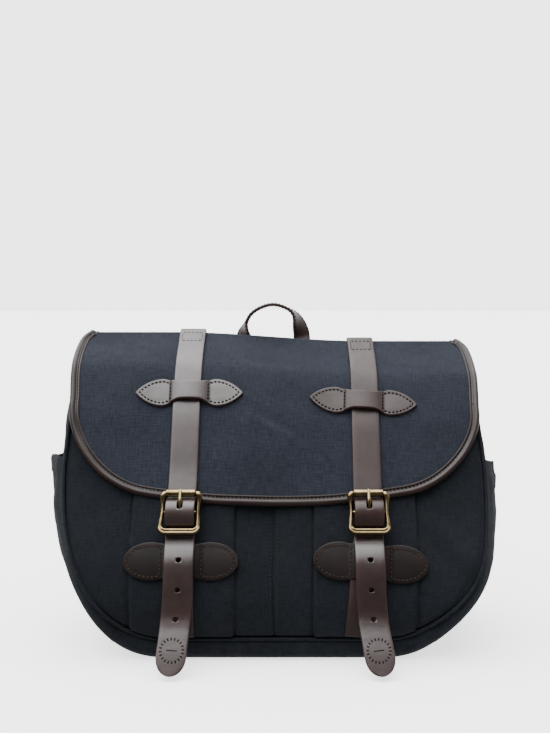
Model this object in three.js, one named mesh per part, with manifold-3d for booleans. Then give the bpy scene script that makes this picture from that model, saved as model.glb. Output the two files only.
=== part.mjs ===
// Canvas messenger bag with a sloping flap and two buckled leather straps.
// Millimetres. +Z up, the front faces -Y, the bag stands on z = 0 with the origin in the middle of its footprint.
import * as THREE from "three";
import { mergeVertices } from "three/addons/utils/BufferGeometryUtils.js";
import Module from "manifold-3d";

const wasm = await Module();
wasm.setup();

// ---- driving dimensions -------------------------------------------------------------------------
const PANEL_WIDTH = 380;
const BACK_Y = 75;
const RIDGE_Z = 277;
const SEAM_Z = 20;
const CORNER_TOP_Z = 165;
const CORNER_RUN = 95;
const SHEET = 3;
const GAP = 0.4;
const STRAP_X = 83;
const STRAP_WIDTH = 25.4;
const STRAP_THICK = 2.6;
const BUCKLE_Z = 122;
const MOUTH_Z = 252;

// Side view of the front as (y, z): it bellies out low down and slopes back to the ridge.
const FRONT_LINE = [
  [-77, 20], [-81, 45], [-79, 62], [-71.5, 85], [-58, 110], [-46.5, 130], [-35, 150],
  [-17.5, 185], [-4, 210], [20, 242], [35, 254], [60, 269], [73, 277],
].map(([y, z]) => new THREE.Vector2(y, z));

// ---- colours -------------------------------------------------------------------------------------
const canvas = () => new THREE.MeshStandardMaterial({ color: 0x3e434a, roughness: 0.95 });
const lining = () => new THREE.MeshStandardMaterial({ color: 0x2a2c30, roughness: 0.95 });
const leather = () => new THREE.MeshStandardMaterial({ color: 0x35291f, roughness: 0.55 });
const brass = () => new THREE.MeshStandardMaterial({ color: 0x9a7a45, roughness: 0.35, metalness: 1 });

// ---- the front line --------------------------------------------------------------------------------
const frontCurve = new THREE.SplineCurve(FRONT_LINE);
const FRONT_SAMPLES = frontCurve.getPoints(400);

// Where the front line stands at a height, and its unit tangent and outward normal there.
function frontAt(z) {
  let i = 1;
  while (i < FRONT_SAMPLES.length - 1 && FRONT_SAMPLES[i].y < z) i += 1;
  const a = FRONT_SAMPLES[i - 1];
  const b = FRONT_SAMPLES[i];
  const k = (z - a.y) / (b.y - a.y);
  const tangent = b.clone().sub(a).normalize();
  return {
    point: a.clone().lerp(b, k),
    tangent,
    normal: new THREE.Vector2(-tangent.y, tangent.x),
  };
}

// A point on the front at height z, moved out along the normal.
function onFront(z, out) {
  const { point, normal } = frontAt(z);
  return point.addScaledVector(normal, out);
}

// Half the width between the side seams at a height: straight bottom, elliptical corners, a little narrower on top.
// A margin moves the outline in from the seam.
function halfWidth(z, margin = 0) {
  const flat = PANEL_WIDTH / 2 - CORNER_RUN;
  if (z >= CORNER_TOP_Z) {
    return PANEL_WIDTH / 2 - margin - (4 * (z - CORNER_TOP_Z)) / (RIDGE_Z - CORNER_TOP_Z);
  }
  const k = Math.min(1, (CORNER_TOP_Z - z) / (CORNER_TOP_Z - SEAM_Z - margin));
  return flat + (CORNER_RUN - margin) * Math.sqrt(1 - k * k);
}

// Heights from just above the bottom seam to a top, close together where the corners turn.
function heights(top, margin, arcSteps = 7, sideSteps = 4) {
  const out = [];
  const fall = CORNER_TOP_Z - SEAM_Z - margin;
  for (let i = 0; i <= arcSteps; i += 1) {
    out.push(CORNER_TOP_Z - fall * Math.cos((Math.PI / 2) * (i / arcSteps)));
  }
  for (let i = 1; i <= sideSteps && top > CORNER_TOP_Z; i += 1) {
    out.push(CORNER_TOP_Z + ((top - CORNER_TOP_Z) * i) / sideSteps);
  }
  return out;
}

// ---- solids --------------------------------------------------------------------------------------
const group = new THREE.Group();

function add(name, geometry, material, parent = group) {
  const mesh = new THREE.Mesh(geometry, material);
  mesh.name = name;
  parent.add(mesh);
  return mesh;
}

function closedGeometry(positions, triangles) {
  let volume = 0;
  const a = new THREE.Vector3();
  const b = new THREE.Vector3();
  const c = new THREE.Vector3();
  for (const [i, j, k] of triangles) {
    volume += a.fromArray(positions[i]).dot(b.fromArray(positions[j]).cross(c.fromArray(positions[k])));
  }
  const order = volume > 0 ? triangles : triangles.map(([i, j, k]) => [i, k, j]);
  const geometry = new THREE.BufferGeometry();
  geometry.setAttribute("position", new THREE.Float32BufferAttribute(positions.flat(), 3));
  geometry.setIndex(order.flat());
  return geometry;
}

// A thick sheet between two grids of points, front[row][column] and rear[row][column]. A closed one joins its ends.
function slab(front, rear, closed = false) {
  const rows = front.length;
  const columns = front[0].length;
  const positions = [...front.flat(), ...rear.flat()];
  const at = (side, i, j) => side * rows * columns + (i % rows) * columns + j;
  const triangles = [];
  const quad = (p, q, r, s) => triangles.push([p, q, r], [p, r, s]);
  const lastRow = closed ? rows : rows - 1;
  for (let i = 0; i < lastRow; i += 1) {
    for (let j = 0; j < columns - 1; j += 1) {
      quad(at(0, i, j), at(0, i, j + 1), at(0, i + 1, j + 1), at(0, i + 1, j));
      quad(at(1, i, j), at(1, i + 1, j), at(1, i + 1, j + 1), at(1, i, j + 1));
    }
    quad(at(0, i, 0), at(0, i + 1, 0), at(1, i + 1, 0), at(1, i, 0));
    quad(at(0, i, columns - 1), at(1, i, columns - 1), at(1, i + 1, columns - 1), at(0, i + 1, columns - 1));
  }
  for (let j = 0; j < columns - 1 && !closed; j += 1) {
    quad(at(0, 0, j), at(1, 0, j), at(1, 0, j + 1), at(0, 0, j + 1));
    quad(at(0, rows - 1, j), at(0, rows - 1, j + 1), at(1, rows - 1, j + 1), at(1, rows - 1, j));
  }
  return closedGeometry(positions, triangles);
}

// A sheet on the front: rows of [z, columns of x], between two distances out from the front line.
function frontSheet(rows, inner, outer) {
  const grid = (out) => rows.map(([z, xs]) => xs.map((x) => {
    const p = onFront(z, typeof out === "function" ? out(x, z) : out);
    return [x, p.x, p.y];
  }));
  return slab(grid(outer), grid(inner));
}

function spread(low, high, steps) {
  return Array.from({ length: steps + 1 }, (_, i) => low + ((high - low) * i) / steps);
}

// A flat strip whose middle follows (y, z) points, across x from -half to +half about x0.
function strip(middle, thick, x0, half) {
  const side = (sign) => middle.map((p, i) => {
    const before = middle[Math.max(0, i - 1)];
    const after = middle[Math.min(middle.length - 1, i + 1)];
    const t = after.clone().sub(before).normalize();
    const y = p.x - (sign * t.y * thick) / 2;
    const z = p.y + (sign * t.x * thick) / 2;
    const h = typeof half === "function" ? half(p) : half;
    return [[x0 - h, y, z], [x0 + h, y, z]];
  });
  return slab(side(1), side(-1));
}

// A round bar along 3-D points, with "sides" flat faces.
function bar(points, radius, sides, closed = false) {
  const centre = points.map((p) => new THREE.Vector3(...p));
  const count = centre.length;
  const rings = centre.map((p, i) => {
    const before = closed ? centre[(i + count - 1) % count] : centre[Math.max(0, i - 1)];
    const after = closed ? centre[(i + 1) % count] : centre[Math.min(count - 1, i + 1)];
    const t = after.clone().sub(before).normalize();
    const helper = Math.abs(t.y) > 0.9 ? new THREE.Vector3(1, 0, 0) : new THREE.Vector3(0, 1, 0);
    const u = helper.clone().cross(t).normalize();
    const v = t.clone().cross(u);
    return Array.from({ length: sides }, (_, j) => {
      const angle = (2 * Math.PI * j) / sides;
      return p.clone().addScaledVector(u, radius * Math.cos(angle)).addScaledVector(v, radius * Math.sin(angle))
        .toArray();
    });
  });
  const triangles = [];
  const last = closed ? count : count - 1;
  for (let i = 0; i < last; i += 1) {
    for (let j = 0; j < sides; j += 1) {
      const a = i * sides + j;
      const b = i * sides + ((j + 1) % sides);
      const c = ((i + 1) % count) * sides + ((j + 1) % sides);
      const d = ((i + 1) % count) * sides + j;
      triangles.push([a, b, c], [a, c, d]);
    }
  }
  for (let j = 1; j < sides - 1 && !closed; j += 1) {
    const end = (count - 1) * sides;
    triangles.push([0, j + 1, j], [end, end + j, end + j + 1]);
  }
  return closedGeometry(rings.flat(), triangles);
}

// ---- booleans ------------------------------------------------------------------------------------
function solid(geometry) {
  const bare = geometry.clone();
  bare.deleteAttribute("normal");
  bare.deleteAttribute("uv");
  const merged = mergeVertices(bare, 1e-4);
  return new wasm.Manifold(new wasm.Mesh({
    numProp: 3,
    vertProperties: new Float32Array(merged.attributes.position.array),
    triVerts: new Uint32Array(merged.index.array),
  }));
}

function geometryOf(manifold) {
  const mesh = manifold.getMesh();
  const geometry = new THREE.BufferGeometry();
  geometry.setAttribute("position", new THREE.BufferAttribute(new Float32Array(mesh.vertProperties), 3));
  geometry.setIndex(new THREE.BufferAttribute(new Uint32Array(mesh.triVerts), 1));
  return geometry;
}

const joined = (...parts) => geometryOf(parts.map(solid).reduce((a, b) => a.add(b)));
const cut = (geometry, ...tools) => geometryOf(tools.map(solid).reduce((a, b) => a.subtract(b), solid(geometry)));

// ---- main panels ---------------------------------------------------------------------------------
const PANEL_OUT = -3.8;
const WELT_RADIUS = 2;
const WELT_OUT = -3;
const SEAM_MARGIN = 3.1;

function frontPanel() {
  const rows = heights(MOUTH_Z, SEAM_MARGIN, 7, 6).map((z) => {
    const half = halfWidth(z, SEAM_MARGIN);
    return [z, spread(-half, half, 6)];
  });
  return frontSheet(rows, PANEL_OUT - SHEET, PANEL_OUT);
}

function backPanel() {
  const rows = heights(RIDGE_Z - 4, SEAM_MARGIN, 8, 3);
  const grid = (y) => rows.map((z) => {
    const half = halfWidth(z, SEAM_MARGIN);
    return spread(-half, half, 4).map((x) => [x, y, z]);
  });
  return slab(grid(BACK_Y), grid(BACK_Y - SHEET));
}

// The mouth's rim: a folded strip standing on the front panel's top edge.
function mouthHem() {
  const half = halfWidth(MOUTH_Z, SEAM_MARGIN);
  const rows = [MOUTH_Z + 0.5, MOUTH_Z + 3.5].map((z) => [z, spread(-half, half, 4)]);
  return frontSheet(rows, PANEL_OUT - SHEET - 1, PANEL_OUT + 1);
}

// ---- gusset --------------------------------------------------------------------------------------
const GUSSET = 2.5;
const GUSSET_TOP = 250;
const BACK_SEAM_Y = 70.8;
const FRONT_SEAM_OUT = -8;

// The seam's outline from the left top, round the bottom, to the right top: {x, z, nx, nz}, (nx, nz) outward.
function outline(top, low = -1, steps = 8) {
  const right = [];
  const across = PANEL_WIDTH / 2 - CORNER_RUN;
  const fall = CORNER_TOP_Z - SEAM_Z;
  for (let i = 1; i <= 2 && low < 0; i += 1) right.push({ x: (across * i) / 3, z: SEAM_Z, nx: 0, nz: -1 });
  for (let i = 0; i <= steps; i += 1) {
    const a = (Math.PI / 2) * (i / steps);
    const n = new THREE.Vector2(fall * Math.sin(a), -CORNER_RUN * Math.cos(a)).normalize();
    const z = CORNER_TOP_Z - fall * Math.cos(a);
    if (z >= low && z <= top) right.push({ x: halfWidth(z), z, nx: n.x, nz: n.y });
  }
  for (const z of spread(CORNER_TOP_Z, Math.max(top, CORNER_TOP_Z), 4).slice(1)) {
    if (top > CORNER_TOP_Z) right.push({ x: halfWidth(z), z, nx: 1, nz: 0 });
  }
  return right;
}

const mirrored = (stations) => stations.map((s) => ({ ...s, x: -s.x, nx: -s.nx })).reverse();

// How full the band is at a share s of its width: flat in the middle, nothing at the seams.
const fullness = (s) => Math.min(1, 1.2 * (1 - (2 * s - 1) ** 4));

// The gusset bellies out more underneath, where it reaches the ground, than at its sides.
const FLOOR_DROP = SEAM_Z - GUSSET / 2;
const SIDE_BULGE = 9.5;

function bulge(station, s) {
  const side = SIDE_BULGE * (1 - 0.55 * Math.max(0, (station.z - 190) / (GUSSET_TOP - 190)));
  return fullness(s) * (side + (FLOOR_DROP - side) * station.nz ** 2);
}

// A band round the outline, its surface "lift" out from the gusset's middle and "thick" through.
function band(stations, shares, lift, thick) {
  const grid = (sign) => stations.map((p) => shares.map((s) => {
    const front = onFront(p.z, FRONT_SEAM_OUT).x;
    const out = bulge(p, s) + lift(p, s) + (sign * thick) / 2;
    return [p.x + p.nx * out, front + (BACK_SEAM_Y - front) * s, p.z + p.nz * out];
  }));
  return slab(grid(1), grid(-1));
}

function gusset() {
  const right = outline(GUSSET_TOP);
  return band([...mirrored(right), ...right], spread(0, 1, 10), () => 0, GUSSET);
}

// A patch pocket on one end of the gusset, standing open at the top.
const END_POCKET_TOP = 172;
const END_POCKET_LOW = 38;
const END_POCKET_SHEET = 2;
const END_POCKET_OPEN = 9.5;

function endPocket(side) {
  const stations = outline(CORNER_TOP_Z, END_POCKET_LOW, 10);
  stations.push({ x: halfWidth(END_POCKET_TOP), z: END_POCKET_TOP, nx: 1, nz: 0 });
  const base = (GUSSET + END_POCKET_SHEET) / 2 + GAP;
  const lift = (p, s) => {
    const rise = THREE.MathUtils.smoothstep(p.z, END_POCKET_LOW, 130);
    return base + END_POCKET_OPEN * rise * Math.min(1, 1.5 * (1 - (2 * s - 1) ** 6));
  };
  return band(side < 0 ? mirrored(stations) : stations, spread(0.01, 0.99, 10), lift, END_POCKET_SHEET);
}

// ---- seam piping ---------------------------------------------------------------------------------
function piping(top, yAt) {
  const right = outline(top);
  return bar([...mirrored(right), ...right].map((p) => [p.x, yAt(p.z), p.z]), WELT_RADIUS, 6);
}

// ---- pockets on the panels -----------------------------------------------------------------------
const POCKET_TOP = 165;
const PLEAT = [35, 125];

// Half of the front pocket, from the centre seam to the side seam, its middle raised between two pleats.
function frontPocket(side) {
  const rows = heights(POCKET_TOP, SEAM_MARGIN, 7, 0).map((z) => {
    const edge = halfWidth(z, SEAM_MARGIN);
    const low = Math.min(PLEAT[0], edge - 8);
    const high = Math.min(PLEAT[1], edge - 3);
    const xs = [1, low, low + 1.5, (low + high) / 2, high - 1.5, high, edge];
    return [z, xs.map((x) => side * x)];
  });
  const raised = (x, z) => {
    const high = Math.min(PLEAT[1], halfWidth(z, SEAM_MARGIN) - 3);
    return Math.abs(x) > PLEAT[0] + 1 && Math.abs(x) < high - 1 ? -0.3 : -1.8;
  };
  return frontSheet(rows, PANEL_OUT + GAP, raised);
}

function rearPatch(halfX, low, high, y, thick) {
  const shape = new THREE.Shape();
  const round = 28;
  shape.moveTo(-halfX, high);
  shape.lineTo(-halfX, low + round);
  shape.absarc(round - halfX, low + round, round, Math.PI, 1.5 * Math.PI);
  shape.lineTo(halfX - round, low);
  shape.absarc(halfX - round, low + round, round, 1.5 * Math.PI, 2 * Math.PI);
  shape.lineTo(halfX, high);
  const geometry = new THREE.ExtrudeGeometry(shape, { depth: thick, bevelEnabled: false, curveSegments: 5 });
  geometry.rotateX(Math.PI / 2);
  geometry.translate(0, y + thick, 0);
  return geometry;
}

// ---- flap ----------------------------------------------------------------------------------------
const FLAP_OUT = SHEET + GAP;
const FLAP_LOW_Z = 128;
const FLAP_CORNER_RISE = 60;
const BINDING_WIDTH = 9;
const FLAP_HALF_TOP = 186;
const FLAP_HALF_LOW = 192;

// The flap's lower edge rises towards its corners as a cube of the distance from the middle.
const flapEdgeZ = (x) => FLAP_LOW_Z + FLAP_CORNER_RISE * (Math.abs(x) / FLAP_HALF_LOW) ** 3;

// Half the flap's width at a share of the way down it.
const flapHalf = (share) => FLAP_HALF_TOP + (FLAP_HALF_LOW - FLAP_HALF_TOP) * Math.min(1, share * 1.4);

// The flap as columns: share u across, -1 to 1, and share v down, 0 at the ridge, less a margin at the edges.
function flapPoint(u, v, margin, out) {
  const half = flapHalf(v) - margin;
  const x = u * half;
  const low = flapEdgeZ(x) + margin * 0.85;
  const z = RIDGE_Z - 0.2 + (low - RIDGE_Z) * v;
  const p = onFront(z, out);
  return [x, p.x, p.y];
}

const FLAP_SHARES = spread(-1, 1, 16).map((u) => Math.sin((u * Math.PI) / 2));

function flapPanel() {
  const grid = (out) => spread(0, 1, 12).map((v) => FLAP_SHARES.map((u) => flapPoint(u, v, BINDING_WIDTH, out)));
  return slab(grid(FLAP_OUT), grid(GAP));
}

// The binding runs down one side, along the lower edge and up the other side.
function flapBinding() {
  const side = spread(0, 11 / 12, 11);
  const path = [
    ...side.map((v) => [-1, v]),
    ...FLAP_SHARES.map((u) => [u, 1]),
    ...side.map((v) => [1, v]).reverse(),
  ];
  const grid = (out) => path.map(([u, v]) => [
    flapPoint(u, v, 0, out),
    flapPoint(u, v, BINDING_WIDTH - GAP, out),
  ]);
  return slab(grid(FLAP_OUT + 0.3), grid(GAP));
}

// ---- buckles -------------------------------------------------------------------------------------
const PITCH = 17;
const CENTRE_BAR_R = 1.8;
const PIN_R = 2.1;
const ROLLER_R = 3.5;
const BOTTOM_BAR_R = 3;
const WINDOW_HALF = 13.8;
const BUCKLE_HALF = 20;
const BUCKLE_OUT = 11.3;
const BUCKLE_TILT = THREE.MathUtils.degToRad(3.4);

const buckleFront = frontAt(BUCKLE_Z);
const buckleCentre = onFront(BUCKLE_Z, BUCKLE_OUT);
const buckleLean = Math.atan2(buckleFront.tangent.x, buckleFront.tangent.y) - BUCKLE_TILT;

// From a buckle's own frame, "up" along it and "out" from the bag, to the bag's (y, z).
function atBuckle(up, out) {
  return new THREE.Vector2(
    buckleCentre.x + up * Math.sin(buckleLean) - out * Math.cos(buckleLean),
    buckleCentre.y + up * Math.cos(buckleLean) + out * Math.sin(buckleLean),
  );
}

function buckleGroup(x) {
  const holder = new THREE.Group();
  holder.position.set(x, buckleCentre.x, buckleCentre.y);
  holder.rotation.x = -buckleLean;
  group.add(holder);
  return holder;
}

function crossBar(radius, halfLength, z, sides = 12) {
  const geometry = new THREE.CylinderGeometry(radius, radius, 2 * halfLength, sides);
  geometry.rotateZ(Math.PI / 2);
  geometry.translate(0, 0, z);
  return geometry;
}

// One side rail of the frame: waisted between the two end bars.
function sideRail(side) {
  const shape = new THREE.Shape();
  const waist = 2.2;
  shape.moveTo(side * WINDOW_HALF, -PITCH - BOTTOM_BAR_R);
  shape.lineTo(side * (BUCKLE_HALF - 2), -PITCH - BOTTOM_BAR_R);
  shape.lineTo(side * BUCKLE_HALF, -PITCH);
  shape.quadraticCurveTo(side * (BUCKLE_HALF - 2 * waist), 0, side * BUCKLE_HALF, PITCH);
  shape.lineTo(side * (BUCKLE_HALF - 2), PITCH + ROLLER_R);
  shape.lineTo(side * WINDOW_HALF, PITCH + ROLLER_R);
  const geometry = new THREE.ExtrudeGeometry(shape, { depth: 4.6, bevelEnabled: false, curveSegments: 6 });
  geometry.rotateX(Math.PI / 2);
  geometry.translate(0, 2.3, 0);
  return geometry;
}

function buckleFrame() {
  return joined(
    sideRail(-1),
    sideRail(1),
    crossBar(BOTTOM_BAR_R, WINDOW_HALF + 1, -PITCH),
    crossBar(CENTRE_BAR_R, WINDOW_HALF + 1, 0),
    crossBar(PIN_R, WINDOW_HALF + 1, PITCH),
  );
}

// A tube round the x axis.
function sleeve(inner, outer, halfLength, z = 0, segments = 16) {
  const profile = [[inner, -halfLength], [outer, -halfLength], [outer, halfLength], [inner, halfLength],
    [inner, -halfLength]].map(([r, h]) => new THREE.Vector2(r, h));
  const geometry = new THREE.LatheGeometry(profile, segments);
  geometry.rotateZ(Math.PI / 2);
  geometry.translate(0, 0, z);
  return geometry;
}

const EYE_HALF = 2.25;

// The prong: an eye on the centre bar and a shank that lies over the roller.
function prong() {
  const path = [[-3.0, 1.4], [-5.2, 6], [-5.7, 12], [-5.4, 17], [-4.8, 20.5]];
  const middle = new THREE.SplineCurve(path.map(([y, z]) => new THREE.Vector2(y, z))).getPoints(10);
  const shank = strip(middle, 2.4, 0, (p) => 1.9 - 0.05 * Math.max(0, p.y - 6));
  return joined(sleeve(2.15, 3.9, EYE_HALF), shank);
}

// ---- straps --------------------------------------------------------------------------------------
const STRAP_OUT = FLAP_OUT + 0.8 + STRAP_THICK / 2;
const STRAP_TOP_Z = 266;
const TAIL_START = -21;

// The strap's way through the buckle as [up, out]: under the roller, over the centre bar, under the bottom bar.
const THREADED = [
  [17, -5.9], [13, -4.3], [9, 0], [4.5, 4.7], [0, 6.1], [-4.5, 4.7], [-9, 0], [-13, -4], [-17, -5.7], [TAIL_START, -5.8],
];

// The slot that the prong comes out of, from just below the centre bar to the roller.
const SLOT_LOW = -1.2;
const SLOT_HIGH = 15.9;
const SLOT_WIDTH = 5.6;

function closingStrap(x) {
  const above = spread(STRAP_TOP_Z, 158, 14).map((z) => onFront(z, STRAP_OUT));
  const through = THREADED.map(([up, out]) => atBuckle(up, out));
  const middle = new THREE.SplineCurve([...above, ...through]).getPoints(64);
  const geometry = strip(middle, STRAP_THICK, x, STRAP_WIDTH / 2);
  const slot = new THREE.BoxGeometry(SLOT_WIDTH, 30, SLOT_HIGH - SLOT_LOW);
  slot.translate(0, 0, (SLOT_LOW + SLOT_HIGH) / 2);
  slot.rotateX(-buckleLean);
  slot.translate(x, buckleCentre.x, buckleCentre.y);
  return cut(geometry, slot);
}

// The tail falls from the buckle over the lower patch to the ground, and ends in a rounded point.
const TAIL_LINE = [[-91, 62], [-93.5, 43], [-98, 21], [-103.5, 2]];
const TAIL_TIP_Z = 1;
const POINT_LENGTH = 20;

function strapTail(x) {
  const start = atBuckle(TAIL_START - 0.9, -5.7);
  const over = [[-25, -4.4], [-28.5, -2.2]].map(([up, out]) => atBuckle(up, out));
  const onPatch = [95, 84, 74].map((z) => onFront(z, 7.6));
  const line = [start, ...over, ...onPatch, ...TAIL_LINE.map(([y, z]) => new THREE.Vector2(y, z))];
  const middle = new THREE.SplineCurve(line).getPoints(28);
  const half = (p) => {
    const k = Math.max(0, 1 - (p.y - TAIL_TIP_Z) / POINT_LENGTH);
    return (STRAP_WIDTH / 2) * Math.sqrt(Math.max(0.04, 1 - k ** 2.6));
  };
  const geometry = strip(middle, STRAP_THICK, x, half);
  const holes = [89, 61, 33].map((z) => {
    const hole = new THREE.CylinderGeometry(2, 2, 60, 8);
    hole.translate(x, -85, z);
    return hole;
  });
  return cut(geometry, ...holes);
}

// The anchor strap rises from the bottom seam under the patch and turns round the buckle's centre bar.
const ANCHOR_THICK = 2;

function anchorStrap(x) {
  const low = spread(24, 100, 8).map((z) => onFront(z, GAP + ANCHOR_THICK / 2));
  const rise = [[-17, -9.2], [-13, -7.9], [-9, -5.6], [-5, -3.7], [-0.6, -3.15]];
  const middle = new THREE.SplineCurve([...low, ...rise.map(([up, out]) => atBuckle(up, out))]).getPoints(30);
  const strap = strip(middle, ANCHOR_THICK - 0.2, x, 11);
  const loop = sleeve(2.15, 2.15 + ANCHOR_THICK, 11);
  loop.rotateX(-buckleLean);
  loop.translate(x, buckleCentre.x, buckleCentre.y);
  const slot = new THREE.BoxGeometry(2 * EYE_HALF + 1, 30, 13);
  slot.translate(0, 0, 1.3);
  slot.rotateX(-buckleLean);
  slot.translate(x, buckleCentre.x, buckleCentre.y);
  return cut(joined(strap, loop), slot);
}

// ---- leather patches across the straps -----------------------------------------------------------
// An oval plate with a raised bridge in the middle, over a strap "clear" mm above the cloth.
function bridgePatch(x0, z0, length, height, waist, base, clear, thick) {
  const bridge = STRAP_WIDTH / 2 + 1.2;
  const across = [-1, -0.93, -0.75, -0.52].map((k) => (k * length) / 2);
  const xs = [...across, -bridge - 3, -bridge, 0, bridge, bridge + 3, ...across.map((v) => -v).reverse()];
  const slope = frontAt(z0).tangent.y;
  const grid = (up) => xs.map((dx) => {
    const far = Math.abs(dx) / (length / 2);
    const lobe = (height / 2) * Math.sqrt(Math.max(0.02, 1 - far ** 2.6));
    const neck = Math.abs(dx) <= bridge + 3 ? waist / 2 : lobe;
    const half = Math.min(lobe, neck);
    const lift = Math.abs(dx) <= bridge ? clear : 0;
    return [-1, -0.5, 0, 0.5, 1].map((k) => {
      const p = onFront(z0 + k * half * slope, base + lift + up);
      return [x0 + dx, p.x, p.y];
    });
  });
  return slab(grid(thick), grid(0));
}

const KEEPER_Z = 224;
const PATCH_Z = 86;

const keeper = (x) => bridgePatch(x, KEEPER_Z, 102, 29, 19, FLAP_OUT + GAP, STRAP_THICK + 0.9, 2.2);
const lowerPatch = (x) => bridgePatch(x, PATCH_Z, 100, 32, 28, GAP, ANCHOR_THICK + 0.4, 2.2);

// ---- handle --------------------------------------------------------------------------------------
const HANDLE_LEG_X = 29;
const HANDLE_Y = 86;
const HANDLE_FOOT_IN = 6.6;
const HANDLE_FOOT_Z = 264;
const HANDLE_CROWN_Z = 307;
const HANDLE_WIDTH = 22;

// A leather strip from one foot to the other. It lies against the back at its feet and is edge-on at the crown.
function handleGrip() {
  const curve = new THREE.CatmullRomCurve3([
    [-HANDLE_LEG_X, HANDLE_FOOT_Z], [-HANDLE_LEG_X - 3.5, 280], [-25, 298], [0, HANDLE_CROWN_Z],
    [25, 298], [HANDLE_LEG_X + 3.5, 280], [HANDLE_LEG_X, HANDLE_FOOT_Z],
  ].map(([x, z]) => new THREE.Vector3(x, 0, z)));
  const steps = 28;
  const grid = (sign) => spread(0, 1, steps).map((k) => {
    const p = curve.getPoint(k);
    const t = curve.getTangent(k);
    const outward = new THREE.Vector3(-t.z, 0, t.x);
    const turn = (Math.PI / 2) * THREE.MathUtils.smoothstep(Math.abs(2 * k - 1), 0.2, 0.85);
    const wide = new THREE.Vector3(0, Math.cos(turn), 0).addScaledVector(outward, Math.sin(turn));
    const through = t.clone().cross(wide);
    const y = HANDLE_Y - HANDLE_FOOT_IN * THREE.MathUtils.smoothstep(Math.abs(2 * k - 1), 0.75, 1);
    const half = (HANDLE_WIDTH - 5 * Math.sin(turn)) / 2;
    return [-half, half].map((w) => p.clone().setY(y)
      .addScaledVector(wide, w)
      .addScaledVector(through, sign * 1.4)
      .toArray());
  });
  return slab(grid(1), grid(-1));
}

// Far enough below the foot for the handle to lean back.
function handlePatch(x) {
  const thick = 7;
  const height = 32.6;
  const geometry = new THREE.BoxGeometry(26, thick, height);
  geometry.translate(x, BACK_Y + GAP + thick / 2, HANDLE_FOOT_Z - 3.8 - height / 2);
  return geometry;
}

// ---- shoulder-strap rings ------------------------------------------------------------------------
const RING_X = 158;
const RING_Z = 226;
const RING_Y = 81.5;
const RING_WIRE = 2;
const RING_HALF = 15;

function strapRing(x) {
  const points = spread(-1, 1, 4).map((k) => [x + k * RING_HALF, RING_Y, RING_Z]);
  for (let i = 0; i <= 10; i += 1) {
    const a = (Math.PI * i) / 10;
    points.push([x + RING_HALF * Math.cos(a), RING_Y, RING_Z - 5 - 17 * Math.sin(a)]);
  }
  return bar(points, RING_WIRE, 8, true);
}

function ringTab(x) {
  const plate = new THREE.BoxGeometry(25, 4.2, 34);
  plate.translate(x, BACK_Y + GAP + 2.1, RING_Z + 20);
  const loop = sleeve(2.5, 4.6, 12.5);
  loop.translate(x, RING_Y, RING_Z);
  const clear = new THREE.CylinderGeometry(2.5, 2.5, 30, 16);
  clear.rotateZ(Math.PI / 2);
  clear.translate(x, RING_Y, RING_Z);
  return cut(joined(plate, loop), clear);
}

// ---- assembly ------------------------------------------------------------------------------------
add("front_panel", frontPanel(), canvas());
add("back_panel", backPanel(), canvas());
add("gusset", gusset(), canvas());
add("mouth_hem", mouthHem(), canvas());
add("front_piping", piping(240, (z) => onFront(z, WELT_OUT).x), canvas());
add("back_piping", piping(262, () => BACK_Y - 1.8), canvas());
add("rear_pocket", rearPatch(150, 36, 205, BACK_Y + GAP, 2.2), canvas());
add("inner_pocket", rearPatch(120, 90, 215, BACK_Y - SHEET - GAP - 2, 2), lining());
add("flap_panel", flapPanel(), canvas());
add("flap_binding", flapBinding(), leather());
add("handle_grip", handleGrip(), leather());

for (const [side, label] of [[-1, "left"], [1, "right"]]) {
  const x = side * STRAP_X;
  add(`front_pocket_${label}`, frontPocket(side), canvas());
  add(`end_pocket_${label}`, endPocket(side), canvas());
  add(`closing_strap_${label}`, closingStrap(x), leather());
  add(`strap_tail_${label}`, strapTail(x), leather());
  add(`anchor_strap_${label}`, anchorStrap(x), leather());
  add(`keeper_${label}`, keeper(x), leather());
  add(`lower_patch_${label}`, lowerPatch(x), leather());
  add(`handle_patch_${label}`, handlePatch(side * HANDLE_LEG_X), leather());
  add(`ring_tab_${label}`, ringTab(side * RING_X), leather());
  add(`strap_ring_${label}`, strapRing(side * RING_X), brass());
  const buckle = buckleGroup(x);
  add(`buckle_frame_${label}`, buckleFrame(), brass(), buckle);
  add(`buckle_roller_${label}`, sleeve(PIN_R + 0.35, ROLLER_R, WINDOW_HALF - 0.5, PITCH), brass(), buckle);
  add(`buckle_prong_${label}`, prong(), brass(), buckle);
}

// The origin is below the middle of the whole object.
const whole = new THREE.Box3().setFromObject(group);
group.position.set(-(whole.min.x + whole.max.x) / 2, -(whole.min.y + whole.max.y) / 2, -whole.min.z);

export default group;
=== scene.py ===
"""A canvas messenger bag with a sloping flap and two buckled leather straps.

Lengths are in millimetres until a mesh is made: x across, y towards the back and z up.
"""
import math
from functools import partial

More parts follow.
